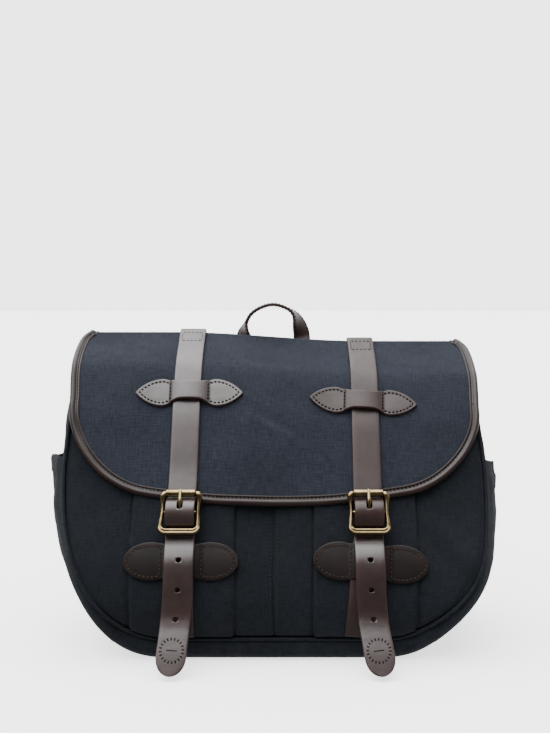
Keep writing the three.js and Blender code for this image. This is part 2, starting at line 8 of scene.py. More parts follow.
import bpy
import numpy as np
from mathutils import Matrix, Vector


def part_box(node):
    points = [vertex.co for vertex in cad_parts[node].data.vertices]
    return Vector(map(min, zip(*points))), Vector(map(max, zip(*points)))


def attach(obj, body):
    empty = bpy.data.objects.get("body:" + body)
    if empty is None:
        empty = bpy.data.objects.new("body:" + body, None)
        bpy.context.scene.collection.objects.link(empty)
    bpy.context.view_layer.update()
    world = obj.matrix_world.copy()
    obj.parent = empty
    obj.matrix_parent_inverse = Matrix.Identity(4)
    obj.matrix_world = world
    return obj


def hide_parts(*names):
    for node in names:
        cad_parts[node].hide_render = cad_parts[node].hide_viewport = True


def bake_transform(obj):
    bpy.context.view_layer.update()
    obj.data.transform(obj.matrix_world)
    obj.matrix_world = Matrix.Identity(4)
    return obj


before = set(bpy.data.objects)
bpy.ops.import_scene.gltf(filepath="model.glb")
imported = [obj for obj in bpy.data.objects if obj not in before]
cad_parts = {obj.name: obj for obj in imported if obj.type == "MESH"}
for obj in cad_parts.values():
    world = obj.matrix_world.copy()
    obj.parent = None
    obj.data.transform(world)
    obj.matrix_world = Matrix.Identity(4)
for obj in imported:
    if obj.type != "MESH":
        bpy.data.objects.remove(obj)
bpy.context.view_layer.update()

MM = 0.001
BACK_Y = 75.0
SHIFT_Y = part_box("back_panel")[1][1] / MM - BACK_Y

# ---- camera ----------------------------------------------------------------------------------------
CAMERA_AT = (0.6, -832.0, 308.5)
CAMERA_TILT = 86.0
CAMERA_LENS = 44.2


def place_camera():
    data = bpy.data.cameras.new("camera")
    data.sensor_width = 36.0
    data.lens = CAMERA_LENS
    camera = bpy.data.objects.new("camera", data)
    bpy.context.scene.collection.objects.link(camera)
    x, y, z = CAMERA_AT
    camera.location = (x * MM, (y + SHIFT_Y) * MM, z * MM)
    camera.rotation_euler = (math.radians(CAMERA_TILT), 0.0, 0.0)
    bpy.context.scene.camera = camera


place_camera()

# ---- the bag's lines -------------------------------------------------------------------------------
PANEL_WIDTH = 380.0
RIDGE_Z = 277.0
SEAM_Z = 20.0
CORNER_TOP_Z = 165.0
CORNER_RUN = 95.0
STRAP_X = 83.0
STRAP_HALF = 12.7
STRAP_THICK = 2.6
SLUMP = 9.0
BELLY = 10.5
FRONT_LINE = (
    (-77, 20), (-81, 45), (-79, 62), (-71.5, 85), (-58, 110), (-46.5, 130), (-35, 150),
    (-17.5, 185), (-4, 210), (20, 242), (35, 254), (60, 269), (73, 277),
)
LEFT_RIGHT = (("left", -1), ("right", 1))


def smooth(low, high, value):
    k = np.clip((value - low) / (high - low), 0.0, 1.0)
    return k * k * (3 - 2 * k)


def bump(value, centre, width):
    return np.exp(-(((value - centre) / width) ** 2))


def columns(*parts):
    """Numbers and arrays side by side in a last axis, such as x, y and z as points."""
    return np.stack(np.broadcast_arrays(*parts), axis=-1)


def unit(vectors):
    return vectors / np.linalg.norm(vectors, axis=-1, keepdims=True)


def tangents(line):
    return unit(np.gradient(np.asarray(line, float), axis=0))


def closed_tangents(loop):
    return unit(np.roll(loop, -1, axis=0) - np.roll(loop, 1, axis=0))


def distances(line):
    """How far along a line each of its points is."""
    return np.concatenate([[0], np.cumsum(np.linalg.norm(np.diff(line, axis=0), axis=1))])


def at_distance(s, run, values):
    """What goes with the points at the distances in run, at the distances s."""
    return np.stack([np.interp(s, run, values[:, i]) for i in range(values.shape[1])], axis=-1)


def circle(count):
    a = np.linspace(0, 2 * math.pi, count, endpoint=False)
    return columns(np.cos(a), np.sin(a))


def spline(points, count):
    """Points along a smooth curve through the given ones, evenly spaced along it."""
    p = np.asarray(points, float)
    p = np.vstack([2 * p[0] - p[1], p, 2 * p[-1] - p[-2]])
    fine = []
    for a, b, c, d in zip(p[:-3], p[1:-2], p[2:-1], p[3:]):
        k = np.linspace(0, 1, 40, endpoint=False)[:, None]
        bend, twist = 2 * a - 5 * b + 4 * c - d, 3 * b - a - 3 * c + d
        fine.append(0.5 * (2 * b + (c - a) * k + bend * k**2 + twist * k**3))
    fine = np.vstack(fine + [p[-2:-1]])
    run = distances(fine)
    return at_distance(np.linspace(0, run[-1], count), run, fine)


front = spline(FRONT_LINE, 500)
front_tangent = tangents(front)


def on_front(z, out=0.0):
    """(y, z) on the front line at height z, moved out along its normal. Past the ridge it runs on over the back."""
    z = np.asarray(z, float)
    ty, tz, y = (np.interp(z, front[:, 1], v) for v in (*front_tangent.T, front[:, 0]))
    return y - tz * out, z + ty * out


def half_width(z, margin=0.0):
    """Half the width between the side seams: straight bottom, elliptical corners, a little narrower on top."""
    z = np.asarray(z, float)
    flat = PANEL_WIDTH / 2 - CORNER_RUN
    k = np.clip((CORNER_TOP_Z - z) / (CORNER_TOP_Z - SEAM_Z - margin), 0, 1)
    low = flat + (CORNER_RUN - margin) * np.sqrt(1 - k * k)
    high = PANEL_WIDTH / 2 - margin - 4 * (z - CORNER_TOP_Z) / (RIDGE_Z - CORNER_TOP_Z)
    return np.where(z >= CORNER_TOP_Z, high, low)


def slumped(p):
    """The bag has settled on its right: everything high up there sits lower, and the lower corner bellies out."""
    p = np.array(p, float)
    x, z = p[..., 0].copy(), p[..., 2].copy()
    p[..., 2] -= SLUMP * smooth(-100, 90, x) * smooth(150, 235, z)
    p[..., 0] += BELLY * smooth(128, 185, x) * bump(z, 50, 56)
    return p


def waves(x, y, size, seed, count=14):
    """A smooth uneven field, about -1 to 1, with lumps of the given size."""
    rng = np.random.default_rng(seed)
    total = np.zeros(np.broadcast(x, y).shape)
    for _ in range(count):
        angle = rng.uniform(0, 2 * math.pi)
        length = size * rng.uniform(0.7, 2.2)
        phase = rng.uniform(0, 2 * math.pi)
        total += np.cos((x * math.cos(angle) + y * math.sin(angle)) * 2 * math.pi / length + phase)
    return total / math.sqrt(count)


# ---- materials -------------------------------------------------------------------------------------
def connect(tree, made, inputs):
    """Sets a node's inputs, each to another node's output, a number, a vector or a colour."""
    for key, value in inputs.items():
        socket = made.inputs[key]
        if isinstance(value, bpy.types.NodeSocket):
            tree.links.new(value, socket)
        else:
            socket.default_value = (*value, 1) if socket.type == "RGBA" else value


def node(tree, kind, output=0, inputs=None, **settings):
    """The output of a new node."""
    made = tree.nodes.new(kind)
    for key, value in settings.items():
        setattr(made, key, value)
    connect(tree, made, inputs or {})
    return made.outputs[output]


def maths(tree, operation, a, b=0.0):
    return node(tree, "ShaderNodeMath", 0, {0: a, 1: b}, operation=operation)


def ramp(tree, factor, *stops):
    """Colours, or greys given as numbers, between the stops."""
    made = tree.nodes.new("ShaderNodeValToRGB")
    elements = made.color_ramp.elements
    while len(elements) < len(stops):
        elements.new(0.5)
    for element, (at, colour) in zip(elements, stops):
        element.position = at
        element.color = (*np.broadcast_to(colour, 3), 1)
    tree.links.new(factor, made.inputs["Fac"])
    return made.outputs["Color"]


def tinted(tree, a, b):
    return node(tree, "ShaderNodeMix", 2, {0: 1.0, 6: a, 7: b}, data_type="RGBA", blend_type="MULTIPLY")


def noise(tree, vector, scale, detail=4.0, rough=0.55):
    inputs = {"Vector": vector, "Scale": scale, "Detail": detail, "Roughness": rough}
    return node(tree, "ShaderNodeTexNoise", "Fac", inputs)


def relief(tree, height, distance, strength, **below):
    inputs = {"Height": height, "Distance": distance, "Strength": strength, **below}
    return node(tree, "ShaderNodeBump", "Normal", inputs)


def new_material(name):
    """A material, its node tree and a way to set its shader's inputs."""
    material = bpy.data.materials.new(name)
    material.use_nodes = True
    tree = material.node_tree
    return material, tree, partial(connect, tree, tree.nodes["Principled BSDF"])


def threads(tree, uv, stretch):
    """Noise drawn out along one set of threads."""
    place = node(tree, "ShaderNodeVectorMath", 0, {0: uv, 1: stretch}, operation="MULTIPLY")
    return noise(tree, place, 1.0, 3.0, 0.65)


def cloth_material(name, dark, light, pitch, sheen, twill=0.7):
    """Twill or plain weave along the piece's own UV map, which is in metres."""
    material, tree, shade_with = new_material(name)
    times, plus, sine = (partial(maths, tree, kind) for kind in ("MULTIPLY", "ADD", "SINE"))
    uv = node(tree, "ShaderNodeUVMap", "UV")
    place = node(tree, "ShaderNodeTexCoord", "Object")
    across, along = (times(node(tree, "ShaderNodeSeparateXYZ", i, {0: uv}), 2 * math.pi / pitch) for i in (0, 1))
    wander = times(noise(tree, uv, 320.0, 2.0), 2.2)
    rib = sine(plus(plus(across, along), wander))
    check = times(sine(times(across, 2.0)), sine(times(along, 2.0)))
    height = plus(times(rib, twill), times(check, 0.5))
    slubs = plus(threads(tree, uv, (900.0, 90.0, 1.0)), threads(tree, uv, (90.0, 900.0, 1.0)))
    shade = plus(plus(times(height, 0.22), 0.5), times(maths(tree, "SUBTRACT", slubs, 1.0), 1.15))
    base = ramp(tree, shade, (0.1, dark), (0.95, light))
    faded = ramp(tree, noise(tree, place, 9.0, 5.0), (0.3, 0.8), (0.75, (1.18, 1.18, 1.2)))
    soft = relief(tree, noise(tree, place, 60.0, 4.0), 0.0006, 0.5)
    shade_with({
        "Base Color": tinted(tree, base, faded), "Roughness": 0.88, "Specular IOR Level": 0.12,
        "Sheen Weight": sheen, "Sheen Roughness": 0.5, "Normal": relief(tree, height, 0.00012, 0.8, Normal=soft),
    })
    return material


def leather_material(name, dark, light, rough, gloss=0.6):
    """Smooth grained leather: cloudy, lighter where its edges are worn."""
    material, tree, shade_with = new_material(name)
    place = node(tree, "ShaderNodeTexCoord", "Object")
    base = ramp(tree, noise(tree, place, 26.0, 6.0, 0.6), (0.25, dark), (0.78, light))
    worn = node(tree, "ShaderNodeNewGeometry", "Pointiness")
    edge = ramp(tree, worn, (0.44, (0.55, 0.52, 0.5)), (0.5, 1), (0.6, (1.7, 1.55, 1.4)))
    cell_inputs = {"Vector": place, "Scale": 1100.0}
    cells = node(tree, "ShaderNodeTexVoronoi", "Distance", cell_inputs, feature="DISTANCE_TO_EDGE")
    streak = ramp(tree, noise(tree, place, 75.0, 5.0, 0.65), (0.3, rough - 0.07), (0.7, rough + 0.12))
    soft = relief(tree, noise(tree, place, 150.0, 5.0), 0.0005, 0.35)
    pores = relief(tree, maths(tree, "MINIMUM", cells, 0.25), 0.00025, 0.5, Normal=soft)
    shade_with({
        "Base Color": tinted(tree, base, edge), "Roughness": streak, "Specular IOR Level": gloss,
        "Coat Weight": 0.4 * gloss, "Coat Roughness": 0.25, "Normal": pores,
    })
    return material


def brass_material(name):
    """Antique brass, dark in its hollows and rubbed bright on its edges."""
    material, tree, shade_with = new_material(name)
    place = node(tree, "ShaderNodeTexCoord", "Object")
    cloud = noise(tree, place, 140.0, 5.0, 0.6)
    base = ramp(tree, cloud, (0.3, (0.15, 0.108, 0.052)), (0.75, (0.34, 0.265, 0.15)))
    worn = node(tree, "ShaderNodeNewGeometry", "Pointiness")
    edge = ramp(tree, worn, (0.46, (0.3, 0.26, 0.2)), (0.5, 0.85), (0.56, (1.35, 1.3, 1.2)))
    shade_with({
        "Base Color": tinted(tree, base, edge), "Metallic": 1.0,
        "Roughness": ramp(tree, cloud, (0.3, 0.16), (0.8, 0.3)),
        "Normal": relief(tree, noise(tree, place, 420.0, 4.0), 0.0001, 0.2),
    })
    return material


def thread_material(name, colour):
    material, tree, shade_with = new_material(name)
    twist = noise(tree, node(tree, "ShaderNodeTexCoord", "Object"), 1500.0, 2.0)
    dim = tuple(c * 0.55 for c in colour)
    shade_with({
        "Base Color": ramp(tree, twist, (0.3, dim), (0.7, colour)), "Roughness": 0.75,
        "Specular IOR Level": 0.12, "Normal": relief(tree, twist, 0.0002, 0.6),
    })
    return material


BROWN = ((0.015, 0.0075, 0.0066), (0.036, 0.019, 0.0165))
# Painted shade: the body's canvas is the flap's cloth at about half its brightness, so the whole body reads darker than
# the flap.
CANVAS = cloth_material("canvas", (0.0038, 0.0049, 0.0066), (0.0135, 0.0165, 0.0215), 0.0011, 0.03)
FLAP_CANVAS = cloth_material("flap_canvas", (0.0078, 0.0094, 0.0145), (0.029, 0.034, 0.048), 0.0011, 0.05)
LINING = cloth_material("lining", (0.02, 0.02, 0.023), (0.05, 0.05, 0.055), 0.0009, 0.1, twill=0.0)
LEATHER = leather_material("leather", *BROWN, 0.33)
DULL_LEATHER = leather_material("dull_leather", *BROWN, 0.36, 0.3)
BINDING_LEATHER = leather_material("binding_leather", (0.010, 0.006, 0.005), (0.023, 0.014, 0.0115), 0.34, 0.26)
# Painted shade: the lower patches use the strap leather at about a third of its brightness, darkened as if in the shade
# below the flap.
SHADED_PATCH_LEATHER = leather_material("patch_leather", (0.0055, 0.0034, 0.0029), (0.0115, 0.0072, 0.0062), 0.46, 0.16)
PRESSED = leather_material("pressed_leather", (0.004, 0.003, 0.0025), (0.008, 0.005, 0.004), 0.8, 0.1)
BRASS = brass_material("antique_brass")
BLACK_THREAD = thread_material("black_thread", (0.0022, 0.002, 0.002))
BROWN_THREAD = thread_material("brown_thread", (0.04, 0.026, 0.018))
NAVY_THREAD = thread_material("navy_thread", (0.02, 0.024, 0.032))
STRAP_LEATHER = {"left": LEATHER, "right": DULL_LEATHER}


# ---- mesh making -----------------------------------------------------------------------------------
def make(name, points, faces, material, uv=None, shift=True):
    """A mesh object from points in millimetres. uv is one pair for each point, in millimetres."""
    points = np.asarray(points, float).reshape(-1, 3)
    if shift:
        points = points + (0, SHIFT_Y, 0)
    mesh = bpy.data.meshes.new(name)
    mesh.from_pydata((points * MM).tolist(), [], faces)
    mesh.polygons.foreach_set("use_smooth", np.ones(len(mesh.polygons), bool))
    if uv is None:
        uv = points[:, [0, 2]]
    layer = mesh.uv_layers.new(name="UVMap")
    corner = np.zeros(len(mesh.loops), np.int32)
    mesh.loops.foreach_get("vertex_index", corner)
    layer.data.foreach_set("uv", (np.asarray(uv, float).reshape(-1, 2) * MM)[corner].ravel())
    mesh.materials.append(material)
    mesh.validate()
    obj = bpy.data.objects.new(name, mesh)
    bpy.context.scene.collection.objects.link(obj)
    return obj


def piece(obj, body, slot, *nodes):
    """A finished piece: it rides on a body and stands for CAD nodes. Its slot is not used."""
    if body:
        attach(obj, body)
    if nodes:
        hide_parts(*nodes)
    return obj


def grid_faces(rows, across, start=0, wrap_rows=False, wrap_columns=False, flip=False):
    faces = []
    for i in range(rows if wrap_rows else rows - 1):
        for j in range(across if wrap_columns else across - 1):
            a = start + i * across + j
            b = start + i * across + (j + 1) % across
            c = start + ((i + 1) % rows) * across + (j + 1) % across
            d = start + ((i + 1) % rows) * across + j
            faces.append((a, d, c, b) if flip else (a, b, c, d))
    return faces


def tube_faces(rows, ring):
    """The sides and both ends of a tube of so many rings of points."""
    ends = [tuple(reversed(range(ring))), tuple((rows - 1) * ring + j for j in range(ring))]
    return grid_faces(rows, ring, wrap_columns=True) + ends


def outward(points, faces):
    """The faces, turned so that the closed mesh they make has its outside outside."""
    p = np.asarray(points).reshape(-1, 3)
    p = p - p.mean(axis=0)
    volume = sum(np.dot(p[f[0]], np.cross(p[b], p[c])) for f in faces for b, c in zip(f[1:3], f[2:4]))
    return faces if volume > 0 else [tuple(reversed(f)) for f in faces]


def slab(outer, inner):
    """A thick sheet between two grids of points. Returns (points, faces)."""
    rows, across = outer.shape[:2]
    size = rows * across
    faces = grid_faces(rows, across) + grid_faces(rows, across, size, flip=True)
    rim = [i * across for i in range(rows)] + [(rows - 1) * across + j for j in range(1, across)]
    rim += [i * across + across - 1 for i in range(rows - 2, -1, -1)] + list(range(across - 2, 0, -1))
    for a, b in zip(rim, rim[1:] + rim[:1]):
        faces.append((a, b, b + size, a + size))
    points = np.concatenate([outer.reshape(-1, 3), inner.reshape(-1, 3)])
    return points, outward(points, faces)


def sheet(name, outer, inner, material, uv, shift=True):
    """Cloth or leather between two grids of points."""
    uv = uv.reshape(-1, 2)
    return make(name, *slab(outer, inner), material, np.concatenate([uv, uv]), shift)


def grid_normals(p):
    n = np.cross(np.gradient(p, axis=0), np.gradient(p, axis=1))
    return n / np.maximum(np.linalg.norm(n, axis=-1, keepdims=True), 1e-9)


def front_sheet(name, outer, thick, material, uv):
    """Cloth whose outer face is the grid, "thick" through, facing -Y at its middle."""
    n = grid_normals(outer)
    if n[n.shape[0] // 2, n.shape[1] // 2, 1] > 0:
        n = -n
    return sheet(name, outer, outer - n * thick, material, uv)


def sweep(path, across, out, section, closed=False):
    """Carries a section of (across, out) points, or one for each station, along a path: (points, faces, uv)."""
    section = np.asarray(section, float)
    if section.ndim == 2:
        section = np.repeat(section[None], len(path), axis=0)
    ring = section.shape[1]
    p = path[:, None] + section[..., :1] * across[:, None] + section[..., 1:] * out[:, None]
    if closed:
        faces = grid_faces(len(path), ring, wrap_rows=True, wrap_columns=True)
        uv = p[..., [0, 2]]
    else:
        faces = tube_faces(len(path), ring)
        uv = np.stack(np.meshgrid(distances(section[0]), distances(path)), axis=-1)
    points = p.reshape(-1, 3)
    return points, outward(points, faces), uv.reshape(-1, 2)


def path_frames(path, normals):
    """Sideways and outward directions along a path that lies on a surface with these normals."""
    t = tangents(path)
    side = unit(np.cross(t, normals))
    return side, np.cross(side, t)


def join(pieces):
    """Several (points, faces, uv) as one."""
    points, faces, uvs, start = [], [], [], 0
    for p, f, uv in pieces:
        points.append(p)
        uvs.append(uv)
        faces += [tuple(start + i for i in face) for face in f]
        start += len(p)
    return np.concatenate(points), faces, np.concatenate(uvs)


def stitch_row(path, normals, pitch, length, radius):
    """Stitches along a path: each one a short thread that dips into the surface at both ends."""
    run = distances(path)
    count = max(1, int(run[-1] / pitch))
    along = np.array([0, 0.08, 0.3, 0.5, 0.7, 0.92, 1.0])
    fat = np.array([0.25, 0.8, 1, 1, 1, 0.8, 0.25])
    high = np.array([-0.6, 0.0, 0.55, 0.7, 0.55, 0.0, -0.6])
    pieces = []
    for i in range(count):
        s = run[-1] / count * (i + 0.5) + (along - 0.5) * length
        p = at_distance(s, run, path)
        side, out = path_frames(p, at_distance(s, run, normals))
        p = p + out * (high * radius)[:, None]
        pieces.append(sweep(p, side, out, circle(6) * (radius * fat)[:, None, None]))
    return join(pieces)


def thread(name, rows, material, body, slot="leather"):
    points, faces, uv = join(rows)
    return piece(make(name, points, faces, material, uv), body, slot)


# ---- flap ------------------------------------------------------------------------------------------
FLAP_OUT = 3.4
FLAP_THICK = 2.2
FLAP_LOW_Z = 129.0
FLAP_HALF = 190.0
FLAP_CORNER = 72.0
FLAP_CORNER_RISE = 66.0
FLAP_EDGE_IN = 4.6
FLAP_SIDE = ((0, 185.5), (4, 188.5), (9, 191), (16, 192.6), (32, 193.4), (50, 193.3), (70, 192.3), (95, FLAP_HALF))
FLAP_SIDE_ROWS = 39
OVER_RIDGE = ((77.6, 262), (77.6, 268), (77.5, 274), (75.6, 279.2))


def flap_profile():
    """The line of the flap's outer face from the back over the ridge and down: points, normals, run from the ridge."""
    down = columns(*on_front(np.linspace(RIDGE_Z, 118, 60), FLAP_OUT))
    line = spline(np.concatenate([OVER_RIDGE, down]), 900)
    t = tangents(line)
    run = distances(line)
    ridge = np.argmin(np.linalg.norm(line - down[0], axis=1))
    return line, columns(t[:, 1], -t[:, 0]), run - run[ridge]


flap_line, flap_normal, flap_s = flap_profile()


def flap_yz(s, out):
    line, normal = (at_distance(s, flap_s, values) for values in (flap_line, flap_normal))
    return tuple(line[..., i] + normal[..., i] * (out - FLAP_OUT) for i in (0, 1))


def run_to(z):
    """Distance down the flap to where the front line is at height z."""
    below = flap_s > -1
    return np.interp(-np.asarray(on_front(z, FLAP_OUT)[1]), -flap_line[below][:, 1], flap_s[below])


def flap_outline():
    """The flap laid flat, from the ridge down its right side and round to the middle of its lower edge, as (x, run)."""
    side_s = np.linspace(0, FLAP_SIDE[-1][0], FLAP_SIDE_ROWS + 1)[:-1]
    knots = spline([(h, s) for s, h in FLAP_SIDE], 200)
    side = columns(np.interp(side_s, knots[:, 1], knots[:, 0]), side_s)
    phi = np.linspace(0, math.pi / 2, 50)
    flat = FLAP_HALF - FLAP_CORNER
    x = np.concatenate([flat + FLAP_CORNER * np.cos(phi), np.linspace(flat, 0, 60)[1:]])
    rise = np.concatenate([FLAP_CORNER_RISE * (1 - np.sin(phi)), np.zeros(59)])
    z = FLAP_LOW_Z + 7.5 * (x / 110) ** 2 + rise
    return np.concatenate([side, columns(x, run_to(z))])


def inset(points, margin):
    """The right half of the outline, moved inward."""
    t = tangents(points)
    return points + columns(-t[:, 1], t[:, 0]) * margin


def flap_relief(x, s):
    """How far the flap's cloth stands out from its even surface, at x across and s down from the ridge."""
    lie = 1.1 * waves(x, s, 130, 3) + 0.35 * waves(x, s, 34, 4)
    held = 1 - 0.75 * (bump(x, -STRAP_X, 22) + bump(x, STRAP_X, 22))
    fold = columns(x + 3, s - 118) @ np.array([[0.86, 0.5], [-0.5, 0.86]]).T
    crease = 1.6 * (fold[..., 1] / 5) * bump(fold[..., 1], 0, 6) * bump(fold[..., 0], 0, 20)
    return lie * held * smooth(0, 30, s) + crease


def flap_points(x, s, out):
    return slumped(columns(x, *flap_yz(s, out + flap_relief(x, s))))


def ridge_blend(obj):
    """Bakes the piece's placement into its mesh; used for cloth and leather that cross the ridge."""
    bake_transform(obj)
    return obj


def flap_panel():
    """Returns the cloth, the width and length of its cut and the cut's area, in metres."""
    edge = inset(flap_outline(), FLAP_EDGE_IN)
    side, low = edge[:FLAP_SIDE_ROWS], edge[FLAP_SIDE_ROWS:][::-1]
    widest = edge[FLAP_SIDE_ROWS, 0]
    u = np.sin(np.linspace(-1, 1, 200) * math.pi / 2)
    bottom = np.interp(np.abs(u) * widest, low[:, 0], low[:, 1])
    back = np.linspace(flap_s[0], 0, 12)[:-1]
    s = np.concatenate([np.repeat(back[:, None], len(u), 1), np.linspace(0, 1, 130)[:, None] * bottom])
    x = u * np.where(s < side[-1, 1], np.interp(np.maximum(s, 0), side[:, 1], side[:, 0]), widest)
    pucker = 0.3 * np.sin(x / 2.1 + 2 * np.sin(x / 17)) * bump(bottom - s, 0, 14)
    grid = flap_points(x, s, FLAP_OUT + pucker)
    obj = front_sheet("flap_cloth", grid, FLAP_THICK, FLAP_CANVAS, columns(grid[..., 0], -s))
    ridge_blend(piece(obj, None, "canvas", "flap_panel"))
    across = np.concatenate([edge[:1, 0], edge[:, 0]]) * MM
    down = np.concatenate([flap_s[:1], edge[:, 1]]) * MM
    area = float(np.sum(np.abs(np.diff(down)) * (across[1:] + across[:-1])))
    return obj, (2 * float(across.max()), float(down.max() - down[0])), area


BINDING_OUT = FLAP_OUT - 1.2
BINDING_FACE = (
    (9.0, 1.2), (8.8, 2.2), (8.2, 2.3), (7.4, 1.95), (6.6, 1.75), (5.9, 1.8), (5.3, 2.4), (4.5, 3.1),
    (3.5, 3.5), (2.4, 3.5), (1.3, 3.0), (0.4, 2.0),
)


def flap_frames(margin, out):
    """Round the flap's edge from the left of the back to the right of the back: points and normals."""
    half = inset(flap_outline(), margin)
    back = np.linspace(flap_s[0], 0, 10)[:-1]
    half = np.concatenate([columns(half[0, 0], back), half])
    whole = np.concatenate([half * (-1, 1), half[::-1][1:]])
    run = distances(whole)
    x, s = at_distance(np.linspace(0, run[-1], 620), run, whole).T
    p, q = flap_points(x, s, out), flap_points(x, s, out + 1.0)
    p[1:-1] = (p[:-2] + 2 * p[1:-1] + p[2:]) / 4
    return p, unit(q - p)


def flap_binding():
    """Leather folded over the flap's edge, with a groove where its stitches pull it down."""
    p, n = flap_frames(0.0, BINDING_OUT)
    side, out = path_frames(p, n)
    middle, low_edge = np.array([0, 40.0, 200.0]), len(p) // 2
    if np.dot(side[low_edge], middle - p[low_edge]) < 0:
        side = -side
    section = [*BINDING_FACE, (0.0, 0.4)] + [(w, 0.8 - 0.75 * h) for w, h in reversed(BINDING_FACE)]
    points, faces, uv = sweep(p, side, out, section)
    obj = make("flap_edge_binding", points, faces, BINDING_LEATHER, uv)
    ridge_blend(piece(obj, None, "leather", "flap_binding"))
    rows = [stitch_row(*flap_frames(7.0, BINDING_OUT + 1.85), 3.5, 2.5, 0.45)]
    ridge_blend(thread("flap_binding_stitches", rows, BLACK_THREAD, None))


# ---- body panels -----------------------------------------------------------------------------------
PANEL_OUT = -3.8
SEAM_MARGIN = 3.1
MOUTH_Z = 252.0
PLEATS = (35.0, 125.0)
POCKET_HIGH_Z = 205.0
NAVY_STITCH = (2.6, 0.32)


def rows_up(low, high, count):
    """Heights from the bottom seam up, closer together where the corners turn."""
    return low + (high - low) * np.linspace(0, 1, count) ** 1.6


def pocket_columns():
    """Shares of the half width, 0 at the centre seam and 1 at the side seam, close together at the folds."""
    steps = np.array([-6, -4, -3, -2, -1.2, -0.6, 0, 0.6, 1.2, 2, 3, 4, 6]) / 187 * 0.8
    close = [f + steps for f in (0.0, PLEATS[0] / 187, PLEATS[1] / 187, 1.0)]
    return np.unique(np.clip(np.concatenate([np.linspace(0, 1, 80), *close]), 0, 1))


def pocket_relief(x, z, side):
    """How far a front pocket's cloth stands out: a raised middle between two pleats, which drift towards its foot."""
    ax = np.abs(x)
    drift = (3.0 if side > 0 else 0.5) * smooth(120, 25, z)
    low, high = PLEATS[0] - drift * 0.4, PLEATS[1] - drift
    raised = smooth(low - 0.5, low + 0.9, ax) * (1 - smooth(high - 0.9, high + 0.5, ax))
    gully = bump(ax, low - 0.9, 1.3) + bump(ax, high + 0.9, 1.3)
    seam = bump(ax, 0.0, 1.5)
    soft = 1.0 * waves(x, z * 0.55, 75, 11 + side) + 0.35 * waves(x, z * 0.7, 26, 21 + side)
    held = smooth(0, 14, half_width(z) - ax) * smooth(22, 40, z) * (1 - 0.75 * bump(ax, STRAP_X, 26))
    diagonal = np.zeros_like(x)
    if side > 0:
        across = (x - 152) * 0.75 + (z - 100) * 0.66
        along = (x - 152) * 0.66 - (z - 100) * 0.75
        diagonal = 1.5 * bump(across, 0, 8) * bump(along, 0, 34) - 1.0 * bump(across, -13, 9) * bump(along, 0, 30)
    return -2.0 + 2.1 * raised - 1.5 * gully - 1.6 * seam + (soft + diagonal) * held


def front_pocket(label, side):
    z, k = np.meshgrid(rows_up(SEAM_Z + SEAM_MARGIN, POCKET_HIGH_Z, 90), pocket_columns(), indexing="ij")
    edge = half_width(z, SEAM_MARGIN - 1.2)
    x = side * (0.35 + k * (edge - 0.35))
    out = pocket_relief(x, z, side) - 1.4 * smooth(7, 0.5, edge - np.abs(x))
    grid = slumped(columns(x, *on_front(z, out)))
    obj = front_sheet(f"front_pocket_cloth_{label}", grid, 1.3, CANVAS, columns(x, z * 1.15))
    piece(obj, "root", "canvas", f"front_pocket_{label}")


def front_panel():
    z, k = np.meshgrid(rows_up(SEAM_Z + SEAM_MARGIN, MOUTH_Z + 3, 70), np.linspace(-1, 1, 60), indexing="ij")
    x = k * half_width(z, SEAM_MARGIN)
    out = PANEL_OUT - 0.2 + 0.8 * smooth(MOUTH_Z - 14, MOUTH_Z - 12, z)
    grid = slumped(columns(x, *on_front(z, out)))
    obj = front_sheet("front_panel_cloth", grid, 2.2, CANVAS, columns(x, z))
    piece(obj, "root", "canvas", "front_panel", "mouth_hem")


def pocket_stitches():
    """A row of stitches on either side of the centre seam."""
    rows = []
    z = np.linspace(26, 128, 120)
    for side in (-1, 1):
        x = np.full_like(z, 3.0 * side)
        relief_here = pocket_relief(x, z, side)
        p, q = (slumped(columns(x, *on_front(z, relief_here + up))) for up in (0, 1))
        rows.append(stitch_row(p, q - p, 3.4, 2.4, 0.3))
    thread("centre_seam_stitches", rows, NAVY_THREAD, "root", "canvas")


# ---- gusset and end pockets ------------------------------------------------------------------------
GUSSET_TOP = 250.0
GUSSET = 2.5
GUSSET_GAP = 1.5
BACK_SEAM_Y = 72.5
FRONT_SEAM_OUT = -5.2
FLOOR_DROP = SEAM_Z - GUSSET / 2
SIDE_BULGE = 9.5
CORNER_BULGE = 8.0
UNDER_PUSH = 5.5
END_POCKET_TOP = {"left": 169.0, "right": 155.0}
END_POCKET_SAG = 8.0
END_POCKET_LOW = 30.0
END_POCKET_OPEN = 7.5


def outline(top, count):
    """The seam's outline from the left top round the bottom to the right top: (x, z), outward direction and run."""
    a = np.linspace(0, math.pi / 2, 60)
    flat = PANEL_WIDTH / 2 - CORNER_RUN
    base = columns(np.linspace(0, flat, 40)[:-1], SEAM_Z)
    arc = columns(flat + CORNER_RUN * np.sin(a), CORNER_TOP_Z - (CORNER_TOP_Z - SEAM_Z) * np.cos(a))
    up_z = np.linspace(CORNER_TOP_Z, top, 30)[1:]
    right = np.vstack([base, arc, columns(half_width(up_z), up_z)])
    whole = np.vstack([right[::-1] * (-1, 1), right[1:]])
    run = distances(whole)
    at = np.linspace(0, run[-1], count)
    p = at_distance(at, run, whole)
    t = tangents(p)
    return p, columns(t[:, 1], -t[:, 0]), at


def fullness(s, under=0.0):
    """The bulge between the front seam, 0, and the back seam, 1: round at the sides and flat underneath."""
    at_side = 1 - np.abs(2 * s ** 1.12 - 1) ** 1.9
    below = 1 - (1 - np.clip(np.minimum(s, 1 - s) / 0.075, 0, 1)) ** 2.4
    return at_side + (below - at_side) * under


